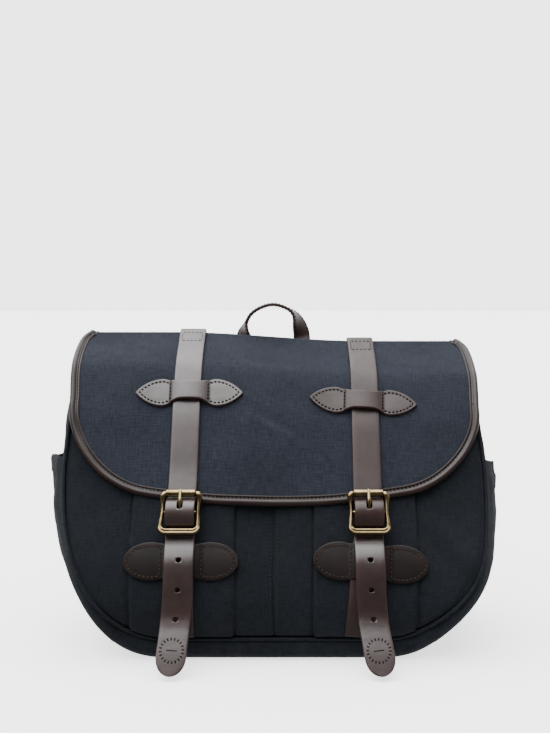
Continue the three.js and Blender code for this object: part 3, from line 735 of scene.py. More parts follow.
def band_grid(p, n, s, lift):
    """Points of a band round the outline: s from 0 at the front seam to 1 at the back seam."""
    z0, s2 = np.meshgrid(p[:, 1], s, indexing="ij")
    nx, nz = n[:, :1], n[:, 1:]
    side = (SIDE_BULGE - 1.2 * np.sign(nx)) * (1 - 0.55 * np.clip((z0 - 190) / (GUSSET_TOP - 190), 0, 1))
    corner = CORNER_BULGE * 4 * nz**2 * (1 - nz**2)
    out = fullness(s2, nz**2) * (side + (FLOOR_DROP - side) * nz**2 + corner) + lift
    front_y, _ = on_front(z0, FRONT_SEAM_OUT)
    y = front_y + (BACK_SEAM_Y - front_y) * s2 - UNDER_PUSH * nz**4 * bump(s2, 0.03, 0.035)
    return columns(p[:, :1] + nx * out, y, z0 + nz * out)


def cloth_band(name, band, s, lift, thick, sag):
    """A band of cloth "thick" through, its outer face at the lift. band is the outline's points, normals and run."""
    p, n, run = band
    outer = band_grid(p, n, s, lift)
    outer[..., 2] -= sag
    normal = grid_normals(outer)
    centre = np.array([0, 20.0, 140.0])
    if np.mean(np.sum(normal * (outer - centre), axis=-1)) < 0:
        normal = -normal
    outer = slumped(outer)
    inner = outer - normal * thick
    outer[..., 2] = np.maximum(outer[..., 2], 0.05)
    inner[..., 2] = np.maximum(inner[..., 2], 1.4)
    return sheet(name, outer, inner, CANVAS, np.stack(np.meshgrid(run, s * 130, indexing="ij"), axis=-1))


def gusset():
    """One band from the left end under the bag to the right end. At the top it is raised to meet the flap."""
    band = p, n, run = outline(GUSSET_TOP, 230)
    s = np.linspace(0, 1, 60)
    s = s - 0.108 * np.sin(2 * math.pi * s)
    r, ss = np.meshgrid(run, s, indexing="ij")
    calm = 1 - smooth(0.6, 0.95, -n[:, 1:]) * 0.85
    lift = GUSSET / 2 + calm * (0.9 * waves(r, ss * 130, 60, 31) + 0.3 * waves(r, ss * 130, 22, 32)) * fullness(ss)
    under_flap = np.interp(band_grid(p, n, s, lift)[..., 1], front[:, 0], front[:, 1]) - GUSSET_TOP - GUSSET_GAP
    raised = np.maximum(under_flap, 0) * smooth(GUSSET_TOP - 45, GUSSET_TOP, p[:, 1])[:, None]
    piece(cloth_band("gusset_cloth", band, s, lift, 2.2, -raised), "root", "canvas", "gusset")


def end_pocket(label, side):
    """A patch pocket on one end, sewn down at its sides and foot, with its mouth standing open."""
    top = END_POCKET_TOP[label]
    p, n, run = outline(top, 420)
    keep = (p[:, 0] * side > 0) & (p[:, 1] > END_POCKET_LOW)
    band = p, n, run = p[keep], n[keep], run[keep]
    s = np.linspace(0, 1, 60)
    z0, ss = np.meshgrid(p[:, 1], s, indexing="ij")
    r = run[:, None]
    rise = smooth(END_POCKET_LOW, 130, z0)
    tucked = smooth(0, 0.09, ss) * smooth(1, 0.91, ss) * smooth(END_POCKET_LOW - 4, END_POCKET_LOW + 45, z0)
    hem = 0.9 * smooth(top - 15, top - 13.5, z0) - 1.3 * smooth(top - 3.5, top, z0)
    soft = 0.9 * waves(r, ss * 120, 46, 41 + side) + 0.3 * waves(r, ss * 120, 18, 43)
    soft = soft * smooth(0, 0.15, ss) * smooth(1, 0.85, ss)
    opened = END_POCKET_OPEN * rise * fullness(ss) ** 0.8
    lift = GUSSET / 2 + 0.4 + (2.0 + hem) * tucked + opened + soft * rise
    sag = END_POCKET_SAG * smooth(0.1, 0.7, ss) * smooth(top - 70, top, z0)
    obj = cloth_band(f"end_pocket_cloth_{label}", band, s, lift, 2.0, sag)
    piece(obj, "root", "canvas", f"end_pocket_{label}")


def seam_rolls():
    """The seam allowance shows as a narrow roll of the same cloth round the front and the back."""
    section = circle(10) * (1.7, 1.5)
    for name, top, y_of in (
        ("front", 262, lambda z: on_front(z, -2.6)[0]),
        ("back", 268, lambda z: np.full_like(z, BACK_Y - 0.6)),
    ):
        p, n, _ = outline(top, 260)
        path = slumped(columns(p[:, 0], y_of(p[:, 1]), p[:, 1]))
        points, faces, uv = sweep(path, *path_frames(path, columns(n[:, 0], 0, n[:, 1])), section)
        piece(make(f"{name}_seam_roll", points, faces, CANVAS, uv), "root", "canvas", f"{name}_piping")


# ---- back ------------------------------------------------------------------------------------------
REAR_POCKET_HALF = 150.0
REAR_POCKET_LOW, REAR_POCKET_HIGH = 36.0, 205.0
REAR_POCKET_CORNER = 28.0
REAR_STITCH_IN = 3.5
OUT_BACK = (0.0, 1.0, 0.0)


def back_panel():
    zs = rows_up(SEAM_Z + SEAM_MARGIN - 1, RIDGE_Z - 3, 70)
    z, k = np.meshgrid(zs, np.linspace(-1, 1, 80), indexing="ij")
    x = k * half_width(z, SEAM_MARGIN - 1)
    hold = smooth(0, 18, half_width(z) - np.abs(x)) * smooth(22, 40, z)
    y = BACK_Y + (0.9 * waves(x, z, 90, 51) + 0.4 * waves(x, z, 30, 52)) * hold * 0.6
    grid = slumped(columns(x, y, z))
    obj = sheet("back_panel_cloth", grid, grid - (0, 2.4, 0), CANVAS, columns(x, z))
    piece(obj, "root", "canvas", "back_panel")


def rear_pocket():
    half, low, high, corner = REAR_POCKET_HALF, REAR_POCKET_LOW, REAR_POCKET_HIGH, REAR_POCKET_CORNER
    z, k = np.meshgrid(np.linspace(low, high, 70), np.linspace(-1, 1, 80), indexing="ij")
    cut = np.clip((low + corner - z) / corner, 0, 1)
    x = k * (half - corner * (1 - np.sqrt(1 - cut**2)))
    edge = np.minimum(half - np.abs(x), z - low)
    y = BACK_Y + 0.6 + 2.0 * smooth(0, 5, edge) + 0.5 * waves(x, z, 60, 61) * smooth(0, 20, edge)
    y = y + 0.7 * smooth(high - 17, high - 15.5, z)
    grid = slumped(columns(x, y, z))
    obj = sheet("rear_pocket_cloth", grid, grid - (0, 1.4, 0), CANVAS, columns(x, z))
    piece(obj, "root", "canvas", "rear_pocket")

    turn = np.linspace(0, 1, 300)[:60] * 7.8
    reach = corner - REAR_STITCH_IN
    down = columns(REAR_STITCH_IN - half, 0, np.linspace(high, low + corner, 80))
    round_corner = columns(-half + corner - reach * np.cos(turn), 0, low + corner - reach * np.sin(turn))
    across = columns(np.linspace(-half + corner, half - corner, 200), 0, low + REAR_STITCH_IN)
    left = np.concatenate([down, round_corner])
    path = np.concatenate([left, across, left[::-1] * (-1, 1, 1)])
    path[:, 1] = BACK_Y + 1.95
    path = slumped(path[np.concatenate([[True], np.linalg.norm(np.diff(path, axis=0), axis=1) > 0.2])])
    hem = slumped(columns(np.linspace(-half + 4, half - 4, 100), BACK_Y + 3.3, high - 14.0))
    rows = [stitch_row(line, np.tile(OUT_BACK, (len(line), 1)), 3.6, *NAVY_STITCH) for line in (path, hem)]
    thread("rear_pocket_stitches", rows, NAVY_THREAD, "root", "canvas")


def inner_pocket():
    low, high = (np.array(corner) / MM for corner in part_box("inner_pocket"))
    z, x = np.meshgrid(np.linspace(low[2], high[2], 40), np.linspace(low[0], high[0], 50), indexing="ij")
    grid = columns(x, low[1] + 0.3 + 0.2 * waves(x, z, 60, 71), z)
    obj = sheet("inner_pocket_cloth", grid, grid + (0, 1.4, 0), LINING, columns(x, z), shift=False)
    piece(obj, "root", "lining", "inner_pocket")


# ---- buckles ---------------------------------------------------------------------------------------
BUCKLE_LEAN = math.radians(26.8)
BUCKLE_Y, BUCKLE_Z = -60.91, 127.684
PITCH = 17.0
FRAME_HALF = 16.4
FRAME_CORNER = 4.6
LEFT_SKEW = 0.035
ROLLER_HALF = 12.9
ROLLER_RADIUS = 3.4
ROLLER_EDGE = 0.7
PRONG_EYE = 3.0
PRONG_LINE = ((0.6, 2.9), (3.0, 3.7), (6, 4.9), (9.5, 5.4), (13, 5.2), (17, 4.7), (19.6, 4.2))
STRAP_MIDDLE = {
    -1: ((0, 15, 32, 62, 95, 125, 150, 200, 266), (-87.6, -85.6, -84, -81.8, -81.4, -82, -81.2, -80.9, -81.2)),
    1: ((0, 20, 40, 62, 95, 125, 200, 266), (90.4, 86.8, 83.6, 82, 81.7, 82.2, 83.4, 85.4)),
}


def at_buckle(up, out):
    s, c = math.sin(BUCKLE_LEAN), math.cos(BUCKLE_LEAN)
    return BUCKLE_Y + up * s - out * c, BUCKLE_Z + up * c + out * s


def from_buckle(x, up, out):
    """Points given across, up and out from the middle of a buckle's centre bar."""
    return columns(x, *at_buckle(up, out))


def strap_middle(side, z):
    """Where the middle of a closing strap runs at height z."""
    return np.interp(z, *STRAP_MIDDLE[side])


def placed(x0, shape, skew=0.0):
    """A shape made in the buckle's own directions, put at its place."""
    p, faces, _ = shape
    p = from_buckle(x0 + p[:, 0] + skew * p[:, 1], p[:, 1], p[:, 2])
    return p, faces, p[:, [0, 2]]


def cast(kind, label, name, body, *shapes):
    points, faces, uv = join(shapes)
    piece(make(f"{name}_{label}", points, faces, BRASS, uv), f"{body}_{label}", "antique_brass", f"{kind}_{label}")


def lathe(profile, count, x0, centre):
    """A solid of revolution about an X axis through a (y, z) centre. The profile is (x, radius), from x0."""
    x, r = np.array(profile).T[..., None]
    c, s = circle(count).T
    p = columns(x0 + x, centre[0] + r * c, centre[1] + r * s).reshape(-1, 3)
    return p, outward(p, tube_faces(len(profile), count)), p[:, [0, 1]]


def superellipse(half_u, half_v, power, count):
    p = circle(count)
    return np.sign(p) * np.abs(p) ** (2 / power) * (half_u, half_v)


def buckle_frame(label, x0):
    """A rounded rectangle of cast brass: waisted sides, corner posts for the roller's pin, a ridged lower bar."""
    half, corner = FRAME_HALF, FRAME_CORNER
    straight, tall = half - corner, PITCH - corner
    a = np.linspace(0, math.pi / 2, 12)
    quarter = corner * columns(np.sin(a), np.cos(a))
    rise = np.linspace(-1, 1, 30)[1:-1]
    top = columns(rise * straight, PITCH)
    right = columns(half, -rise * tall)
    loop = np.concatenate([
        top, quarter + (straight, tall), right, (quarter * (1, -1))[::-1] + (straight, -tall),
        (top * (1, -1))[::-1], (-straight, -tall) - quarter, -right, (quarter * (-1, 1))[::-1] + (-straight, tall),
    ])
    x, up = loop[np.linalg.norm(loop - np.roll(loop, 1, axis=0), axis=1) > 0.05].T
    waist = bump(up, 1.5, 9.5) * smooth(straight, half - 0.6, np.abs(x))
    x = x - np.sign(x) * 1.05 * waist
    post = bump(up, PITCH - 1.5, 4.2) * smooth(10.5, 15.0, np.abs(x))
    low = smooth(-PITCH + 5.5, -PITCH + 1.0, up)
    high = smooth(PITCH - 2.5, PITCH - 0.5, up) * (1 - smooth(12, 14.5, np.abs(x)))
    wide = 2.1 - 0.45 * waist + 0.85 * post + 0.95 * low - 0.6 * high
    thick = 2.1 - 0.2 * waist + 1.0 * post + 0.5 * low - 0.5 * high
    ring = superellipse(1, 1, 2.2, 24)
    section = ring[None] * columns(wide, thick)[:, None]
    section[..., 1] -= 0.85 * low[:, None] * bump(section[..., 0] - 0.1, 0, 0.8) * (ring[None, :, 1] > 0)
    path = columns(x, up, 0.35 * low - 0.2 * waist)
    out = np.tile((0.0, 0.0, 1.0), (len(path), 1))
    frame_shape = sweep(path, np.cross(closed_tangents(path), out), out, section, closed=True)
    ends = ((-15.4, 0.05), (-15.4, 1.2), (-12.8, 1.25), (-12.0, 1.8))
    bar = lathe([*ends, *((-x, r) for x, r in reversed(ends))], 20, x0, (BUCKLE_Y, BUCKLE_Z))
    skew = LEFT_SKEW if label == "left" else 0.0
    cast("buckle_frame", label, "buckle_cast_frame", "buckle", placed(x0, frame_shape, skew), bar)


def buckle_roller(label, x0):
    bends = [(1 - math.cos(t), math.sin(t)) for t in np.linspace(0, math.pi / 2, 5)]
    left = [(-ROLLER_HALF, 0.05)]
    left += [(-ROLLER_HALF + ROLLER_EDGE * a, ROLLER_RADIUS - ROLLER_EDGE + ROLLER_EDGE * b) for a, b in bends]
    roller = lathe([*left, *((-x, r) for x, r in reversed(left))], 32, x0, at_buckle(PITCH, 0))
    cast("buckle_roller", label, "buckle_rolling_sleeve", "roller", roller)


def buckle_prong(label, x0):
    """The prong, round and tapering, and the flat eye that turns on the centre bar."""
    line = spline(PRONG_LINE, 40)
    k = np.linspace(0, 1, 40)
    half = (1.75 - 0.6 * smooth(0.25, 1, k)) * np.sqrt(np.clip(1 - ((k - 0.93) / 0.075).clip(0, 0.99) ** 2, 0.02, 1))
    deep = np.minimum(1.15 - 0.3 * smooth(0.4, 1, k), half * 1.05)
    t = tangents(line)
    section = superellipse(1, 1, 2.2, 16)[None] * columns(half, deep)[:, None]
    across = np.tile((1.0, 0.0, 0.0), (40, 1))
    shank = sweep(columns(0, line[:, 0], line[:, 1]), across, columns(0, -t[:, 1], t[:, 0]), section)
    c, s = circle(28).T
    eye_path = columns(0, PRONG_EYE * c, PRONG_EYE * s)
    eye = sweep(eye_path, across[:28], eye_path / PRONG_EYE, superellipse(2.1, 0.82, 2.6, 12), closed=True)
    cast("buckle_prong", label, "buckle_tongue", "prong", placed(x0, shank), placed(x0, eye))


# ---- straps ----------------------------------------------------------------------------------------
STRAP_OUT = 5.5
TAIL_START = -21.0
TAIL_IN = -5.8
THREADED = (
    (17, -5.9), (13.6, -4.2), (10.8, -0.6), (8.4, 2.8), (5, 5.2), (0.5, 6.0), (-4.5, 4.9), (-9, 1.6),
    (-13, -3.2), (-17, -5.7), (TAIL_START, TAIL_IN),
)
TAIL_LINE = (
    (-69.5, 102.6), (-75.6, 97.6), (-80.8, 90.5), (-84.3, 81), (-86.6, 70), (-88, 58), (-90, 47), (-94, 38),
    (-100, 29), (-107, 18.5), (-115.5, 4),
)
TAIL_HOLES_Z = (91.0, 67.0, 43.0)
TAIL_HOLE_RADIUS = 2.25
POINT_LENGTH = 17.0
MARK_FROM_TIP = 20.5
MARK_BARS = 20
MARK_IN, MARK_OUT = 8.3, 10.6
MARK_MIDDLE = 4.4
CROWN = 0.12
ANCHOR_RISE = ((-17, -9.2), (-13, -7.9), (-9, -5.6), (-5, -3.9), (-1.2, -3.3))
ANCHOR_X = {-1: (-81.6, -81.6, -82), 1: (72.5, 78.5, 82.6)}


def leather_section(half, thick, edge=0.9):
    """A strap's cut: rounded edges, the face a little crowned."""
    a = np.linspace(0, math.pi / 2, 4)
    corner = columns(half - edge + edge * np.sin(a), thick / 2 - edge + edge * np.cos(a))
    flat = np.linspace(-1, 1, 9)[1:-1]
    top = columns(flat * (half - edge), thick / 2 + CROWN * (1 - flat**2))
    under = columns(-flat * (half - edge), -thick / 2)
    return np.concatenate([top, corner, (corner * (1, -1))[::-1], under, -corner, (corner * (-1, 1))[::-1]])


def strap_frames(line, xs, settle=slumped):
    """A strap's middle line from its (y, z) and x, with its sideways and outward directions."""
    p = columns(xs, line[:, 0], line[:, 1])
    t = np.gradient(p, axis=0)
    p = settle(p)
    return (p, *path_frames(p, columns(0, -t[:, 2], t[:, 1])))


def bored(obj, *cutters):
    """The mesh with the cutters taken out of it."""
    for cutter in cutters:
        change = obj.modifiers.new("cut", "BOOLEAN")
        change.operation = "DIFFERENCE"
        change.solver = "EXACT"
        change.object = cutter
    bpy.context.view_layer.update()
    mesh = bpy.data.meshes.new_from_object(obj.evaluated_get(bpy.context.evaluated_depsgraph_get()))
    obj.modifiers.clear()
    obj.data = mesh
    for cutter in cutters:
        bpy.data.objects.remove(cutter)
    mesh.polygons.foreach_set("use_smooth", np.ones(len(mesh.polygons), bool))


def cutter_between(inner, outer):
    p = np.concatenate([inner, outer])
    return make("cutter", p, outward(p, tube_faces(2, len(inner))), LEATHER)


def slot_cutter(side, low_in, high_out, up0, up1, half):
    """A cutter with round ends, through the strap from inside to outside, in the buckle's directions."""
    a = np.linspace(0, math.pi, 12)
    top = columns(half * np.cos(a), up1 - half + half * np.sin(a))
    low = columns(-half * np.cos(a), up0 + half - half * np.sin(a))
    x, up = np.concatenate([top, low]).T
    x = x + float(strap_middle(side, BUCKLE_Z))
    return cutter_between(*(from_buckle(x, up, out) for out in (low_in, high_out)))


def round_cutter(centre, across, out, radius):
    c, s = circle(20).T[..., None]
    ring = centre + radius * (c * across + s * np.cross(across, out))
    return cutter_between(ring - out * 6, ring + out * 6)


def eased(line, low):
    """The line with its bends rounded off above the height low, up to the ridge."""
    soft = line.copy()
    for _ in range(60):
        soft[1:-1] = (soft[:-2] + soft[2:]) / 2
    share = smooth(low - 4, low + 6, line[:, 1])[:, None] * (line[:, :1] < 60)
    return line + (soft - line) * share


def closing_strap(label, side):
    """From the back over the ridge, down the flap and through the buckle."""
    above = columns(*flap_yz(np.linspace(flap_s[0], float(run_to(158)), 50), STRAP_OUT))
    through = np.array([at_buckle(up, out) for up, out in THREADED])
    line = eased(spline(np.concatenate([above, through]), 330), 146.0)
    p, across, out = strap_frames(line, strap_middle(side, line[:, 1]))
    out = -out
    cup = 0.25 * waves(np.linspace(0, 240, len(p)), np.zeros(len(p)), 60, 81 + side)
    points, faces, uv = sweep(p + out * cup[:, None] * 0.4, across, out, leather_section(STRAP_HALF, STRAP_THICK))
    obj = make(f"closing_strap_leather_{label}", points, faces, STRAP_LEATHER[label], uv)
    bored(obj, slot_cutter(side, -1.0, 14.0, 1.0, 9.6, 2.6))
    ridge_blend(piece(obj, None, "leather", f"closing_strap_{label}"))
    near_ridge = np.where((line[:, 1] > 240) & (line[:, 0] < 66))[0][:-1]
    p, across, out = p[near_ridge], across[near_ridge], out[near_ridge]
    rows = box_stitches(p + out * (STRAP_THICK / 2), across, out)
    ridge_blend(thread(f"closing_strap_stitches_{label}", rows, BLACK_THREAD, None))


def box_stitches(path, across, out):
    """A box of stitches just below the ridge, the strap's width less its edges."""
    half = STRAP_HALF - 3.0
    last = int(np.searchsorted(distances(path), 15.0))
    p, a, o = path[:last], across[:last], out[:last]
    steps = np.linspace(-half, half, 20)[:, None]
    sides = [(p - a * half, o), (p + a * half, o)]
    ends = [(p[i] + a[i] * steps, np.tile(o[i], (20, 1))) for i in (0, -1)]
    return [stitch_row(line, normal, 3.4, 2.5, 0.36) for line, normal in sides + ends]


def strap_tail(label, side):
    """The free end, from the buckle down to its rounded point."""
    line = spline([at_buckle(TAIL_START, TAIL_IN), *TAIL_LINE], 240)
    p, across, out = strap_frames(line, strap_middle(side, line[:, 1]))
    out = -out
    run = distances(p)
    k = np.clip(1 - (run[-1] - run) / POINT_LENGTH, 0, 1)
    narrow = np.sqrt(np.clip(1 - k**2.3, 0.012, 1))
    section = leather_section(STRAP_HALF, STRAP_THICK)[None] * columns(narrow, 1)[:, None]
    points, faces, uv = sweep(p, across, out, section)
    obj = make(f"strap_tail_leather_{label}", points, faces, LEATHER, uv)
    holes = [int(np.argmin(np.abs(line[:, 1] - z))) for z in TAIL_HOLES_Z]
    bored(obj, *(round_cutter(p[i], across[i], out[i], TAIL_HOLE_RADIUS) for i in holes))
    piece(obj, None, "leather", f"strap_tail_{label}")
    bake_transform(obj)
    tail_mark(label, p, across, out, run)


def tail_mark(label, p, across, out, run):
    """A plain ring of short bars round a longer one, pressed into the strap above its point."""
    def mark(low, high, half):
        """A short bar between two places given as (across, along) from the middle of the mark."""
        k = np.linspace(0, 1, 7)[:, None]
        u, along = (np.array(low) * (1 - k) + np.array(high) * k).T
        here, side, face = (at_distance(run[-1] - MARK_FROM_TIP + along, run, v) for v in (p, across, out))
        crown = CROWN * (1 - (u / STRAP_HALF) ** 2)
        c = here + side * u[:, None] + face * (STRAP_THICK / 2 + crown - 0.06)[:, None]
        return sweep(c, *path_frames(c, face), superellipse(half, 0.16, 3.0, 8))

    bars = 2 * math.pi * (np.arange(MARK_BARS) + 0.5) / MARK_BARS
    rows = [mark(MARK_IN * ray, MARK_OUT * ray, 0.62) for ray in columns(np.cos(bars), np.sin(bars))]
    rows.append(mark((-MARK_MIDDLE, 0), (MARK_MIDDLE, 0), 0.5))
    points, faces, uv = join(rows)
    piece(make(f"strap_tail_mark_{label}", points, faces, PRESSED, uv), f"tail_{label}", "leather")


def anchor_strap(label, side):
    """From the bottom seam up under the patch, and round the buckle's centre bar."""
    low = columns(*on_front(np.linspace(24, 100, 24), 1.5))
    rise = [at_buckle(up, out) for up, out in ANCHOR_RISE]
    round_bar = [at_buckle(3.2 * math.sin(a), -3.2 * math.cos(a)) for a in np.linspace(0.6, math.pi, 6)]
    line = spline(np.concatenate([low, rise, round_bar]), 150)
    p, across, out = strap_frames(line, np.interp(line[:, 1], (22, 84, BUCKLE_Z), ANCHOR_X[side]))
    wide = np.interp(line[:, 1], (95, 108), (1.0, 0.86))
    section = leather_section(12.5, 2.0, 0.7)[None] * columns(wide, 1)[:, None]
    points, faces, uv = sweep(p, across, out, section)
    obj = make(f"anchor_strap_leather_{label}", points, faces, LEATHER, uv)
    bored(obj, slot_cutter(side, -7.0, 7.0, -5.2, 7.0, 2.75))
    piece(obj, "root", "leather", f"anchor_strap_{label}")


# ---- keepers and lower patches ---------------------------------------------------------------------
KEEPER_Z = 226.0
PATCH_Z = 86.5
PLATE_LENGTH = 100.0
BRIDGE_HALF = STRAP_HALF + 7.5
STITCH_BOX_X = 17.6


class Plate:
    """An oval leather plate sewn down at both ends, whose middle bridges a strap. Lengths along and across it."""

    def __init__(self, name, x0, z0, turn, height, waist, point, clear, lie):
        self.name, self.x0, self.z0, self.turn = name, x0, z0, math.radians(turn)
        self.half_length, self.height, self.waist = PLATE_LENGTH / 2, height, waist
        self.point, self.clear, self.lie = point, clear, lie
        self.slope = float(np.interp(z0, front[:, 1], front_tangent[:, 1]))

    def half(self, along):
        """Half the plate's height at a distance from its middle."""
        a = np.abs(along)
        full = self.height / 2
        t = np.clip((self.half_length - a) / 26.0, 0, 1)
        oval = full * (1 - (1 - t) ** self.point[0]) ** self.point[1]
        neck = self.waist / 2 + (full - self.waist / 2) * smooth(9, 25, a)
        return np.maximum(np.minimum(oval, neck), 0.25)

    def at(self, along, across, up):
        """The points at these places on the plate, standing "up" from the cloth."""
        c, s = math.cos(self.turn), math.sin(self.turn)
        z = self.z0 + (across * c - along * s) * self.slope
        x = self.x0 + (along * c + across * s)
        arch = np.clip(1 - (along / BRIDGE_HALF) ** 2, 0, 1) ** 0.8
        rise = arch * smooth(BRIDGE_HALF, STRAP_HALF + 3, np.abs(along)) * self.clear
        return slumped(columns(x, *on_front(z, self.lie(x, z) + rise + up)))

    def build(self, thick, material, stitches, body, cad_node):
        near = np.linspace(-1, 1, 141)
        along = np.sign(near) * np.abs(near) ** 0.82 * self.half_length
        share = np.array([0, 0.2, 0.4, 0.6, 0.76, 0.86, 0.92, 0.955, 0.98, 0.994, 1.0])
        a, k = np.meshgrid(along, np.concatenate([-share[:0:-1], share]), indexing="ij")
        half = self.half(a)
        from_edge = np.minimum(half * (1 - np.abs(k)), (self.half_length - np.abs(a)) * 0.9)
        edge = np.clip(1 - from_edge / 1.1, 0, 1)
        top = thick - 0.95 * (1 - np.sqrt(1 - edge**2))
        groove = 0.3 * bump(from_edge, 3.2, 0.55) * smooth(12, 17, np.abs(a))
        outer = self.at(a, k * half, top - groove)
        inner = self.at(a, k * half, 0.05 + 0.35 * (edge > 0.95))
        piece(sheet(self.name, outer, inner, material, columns(a, k * half)), body, "leather", cad_node)
        rows = [self.stitches(end * along, across, thick) for end in (-1, 1) for along, across in self.stitch_lines()]
        thread(self.name + "_stitches", rows, stitches, body)

    def stitch_lines(self):
        """Round the plate's right end inside its edge, and straight across beside the bridge."""
        x = np.linspace(STITCH_BOX_X, self.half_length, 70)
        v = self.half(x)
        t = tangents(columns(x, v))
        x, v = x + t[:, 1] * 3.2, v - t[:, 0] * 3.2
        ok = (v > 0.15) & (x < self.half_length - 3.2)
        x, v = x[ok], v[ok]
        tall = self.half(STITCH_BOX_X) - 3.0
        return (
            (np.concatenate([x, x[::-1]]), np.concatenate([v, -v[::-1]])),
            (np.full(14, STITCH_BOX_X), np.linspace(-tall, tall, 14)),
        )

    def stitches(self, along, across, thick):
        p, q = (self.at(along, across, thick + up) for up in (-0.12, 0.88))
        return stitch_row(p, q - p, 3.5, 2.6, 0.62)


def on_flap(x, z):
    return FLAP_OUT + 0.15 + flap_relief(x, run_to(z))


def on_pocket(x, z):
    return 0.35


def keepers_and_patches():
    for label, side, keeper_dx, keeper_dz, keeper_turn, patch_dx, patch_dz, patch_turn in (
        ("left", -1, 2.0, -2.6, -1.0, 1.0, 0.0, 0.0),
        ("right", 1, -1.6, -3.4, 3.6, 1.2, -1.0, 3.4),
    ):
        x = float(strap_middle(side, KEEPER_Z)) + keeper_dx
        at = (f"keeper_leather_{label}", x, KEEPER_Z + keeper_dz, keeper_turn)
        keeper = Plate(*at, 28.5, 18.5, (2.0, 0.86), STRAP_THICK + 3.6, on_flap)
        keeper.build(2.9, STRAP_LEATHER[label], BLACK_THREAD, "flap", f"keeper_{label}")
        x = float(strap_middle(side, PATCH_Z)) + patch_dx
        at = (f"lower_patch_leather_{label}", x, PATCH_Z + patch_dz, patch_turn)
        patch = Plate(*at, 33, 28, (2.3, 0.58), 2.6, on_pocket)
        patch.build(2.4, SHADED_PATCH_LEATHER, BROWN_THREAD, "root", f"lower_patch_{label}")


# ---- handle and rings ------------------------------------------------------------------------------
HANDLE_CURVE = (
    (-29, 250), (-29, 258), (-29.4, 266), (-31, 281), (-22.5, 299), (-1.5, 307.6), (19.5, 299), (27, 281),
    (28, 266), (29, 258), (29, 250),
)
HANDLE_Y = 86.0
HANDLE_FOOT_IN = 6.8
HANDLE_THICK = 2.9
HANDLE_FOOT_X = 29.0
ON_BACK_Y = BACK_Y + 0.6
RING_X = 158.0
RING_Y = 81.5
RING_BAR_Z = 226.0
RING_RADIUS = 1.95
RING_HALF = 15.0
LOOP_RADIUS = 3.55


def handle():
    """One strip from foot to foot that turns edge on towards its crown."""
    line = spline(HANDLE_CURVE, 170)
    at = np.linspace(-1, 1, 170)
    k = np.abs(at)
    turn = (math.pi / 2) * np.where(at < 0, smooth(0.42, 0.84, k), smooth(0.2, 0.78, k))
    path = columns(line[:, 0], HANDLE_Y - HANDLE_FOOT_IN * smooth(0.62, 0.86, k), line[:, 1])
    t = tangents(line)
    wide = columns(0, np.cos(turn), 0) + columns(-t[:, 1], 0, t[:, 0]) * np.sin(turn)[:, None]
    through = np.cross(columns(t[:, 0], 0, t[:, 1]), wide)
    half = (22 - 5 * np.sin(turn)) / 2
    section = leather_section(11.0, HANDLE_THICK, 1.1)[None] * columns(half / 11.0, 1)[:, None]
    points, faces, uv = sweep(path, wide, through, section)
    grip = make("handle_grip_leather", points, faces, DULL_LEATHER, uv)
    piece(grip, None, "leather", "handle_grip")
    sewn = k < 0.74
    path, wide, through, half = path[sewn], wide[sewn], through[sewn], half[sewn, None]
    rows = []
    for sign in (-1, 1):
        for face in (-1, 1):
            edge = path + wide * (sign * (half - 2.4)) + through * (face * HANDLE_THICK / 2)
            rows.append(stitch_row(edge, through * face, 3.6, 2.6, 0.34))
    for obj in (grip, thread("handle_stitches", rows, BLACK_THREAD, None)):
        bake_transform(obj)


def rounded_plate(kind, label, outline_xz, thick, stitch_in):
    """A flat leather plate on the back, with a rounded outline and a row of stitches inside its edge."""
    pts = np.asarray(outline_xz, float)
    middle = pts.mean(axis=0)
    t = closed_tangents(pts)
    inward = columns(-t[:, 1], t[:, 0])
    if np.mean(np.sum(inward * (middle - pts), axis=1)) < 0:
        inward = -inward

    def ring_at(p, high):
        return columns(p[:, 0], ON_BACK_Y + high, p[:, 1])

    edge = ((0, 0), (0, thick * 0.35), (0.05, thick - 0.7), (0.3, thick - 0.22), (0.8, thick))
    rings = [ring_at(pts + inward * depth, high) for depth, high in edge]
    for k in np.arange(1, 8) / 7.05:
        rings.append(ring_at((pts + inward * 0.8) * (1 - k) + middle * k, thick + 0.1 * k))
    points = np.concatenate(rings)
    faces = outward(points, tube_faces(len(rings), len(pts)))
    name = f"{kind}_leather_{label}"
    piece(make(name, points, faces, LEATHER, points[:, [0, 2]]), "root", "leather", f"{kind}_{label}")
    path = ring_at(pts + inward * stitch_in, thick)
    path = np.concatenate([path, path[:1]])
    rows = [stitch_row(path, np.tile(OUT_BACK, (len(path), 1)), 3.3, 2.4, 0.34)]
    thread(name + "_stitches", rows, BLACK_THREAD, "root")


def rounded_box(x, half, low, high, corner, point=0.0):
    """An outline with round corners, and its lower edge drawn down to a blunt point."""
    a = np.linspace(0, math.pi / 2, 7)
    arc = columns(np.sin(a), np.cos(a)) * corner
    right_top = arc + (half - corner, high - corner)
    right_low = (arc[::-1] * (1, -1)) + (half - corner, low + corner)
    right_side = columns(half, np.linspace(high - corner, low + corner, 10)[1:-1])
    right = np.concatenate([right_top, right_side, right_low])
    bottom = columns(np.linspace(half - corner, -half + corner, 12)[1:-1], low)
    top = bottom[::-1] * (1, 0) + (0, high)
    whole = np.concatenate([right, bottom, right[::-1] * (-1, 1), top])
    whole[:, 1] -= point * np.clip(1 - np.abs(whole[:, 0]) / half, 0, 1) * (whole[:, 1] < low + corner)
    return whole + (x, 0)


def handle_patch(label, side):
    low, high = (corner[2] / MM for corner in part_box(f"handle_patch_{label}"))
    rounded_plate("handle_patch", label, rounded_box(side * HANDLE_FOOT_X, 13, low + 4, high, 4, 4), 2.6, 2.6)


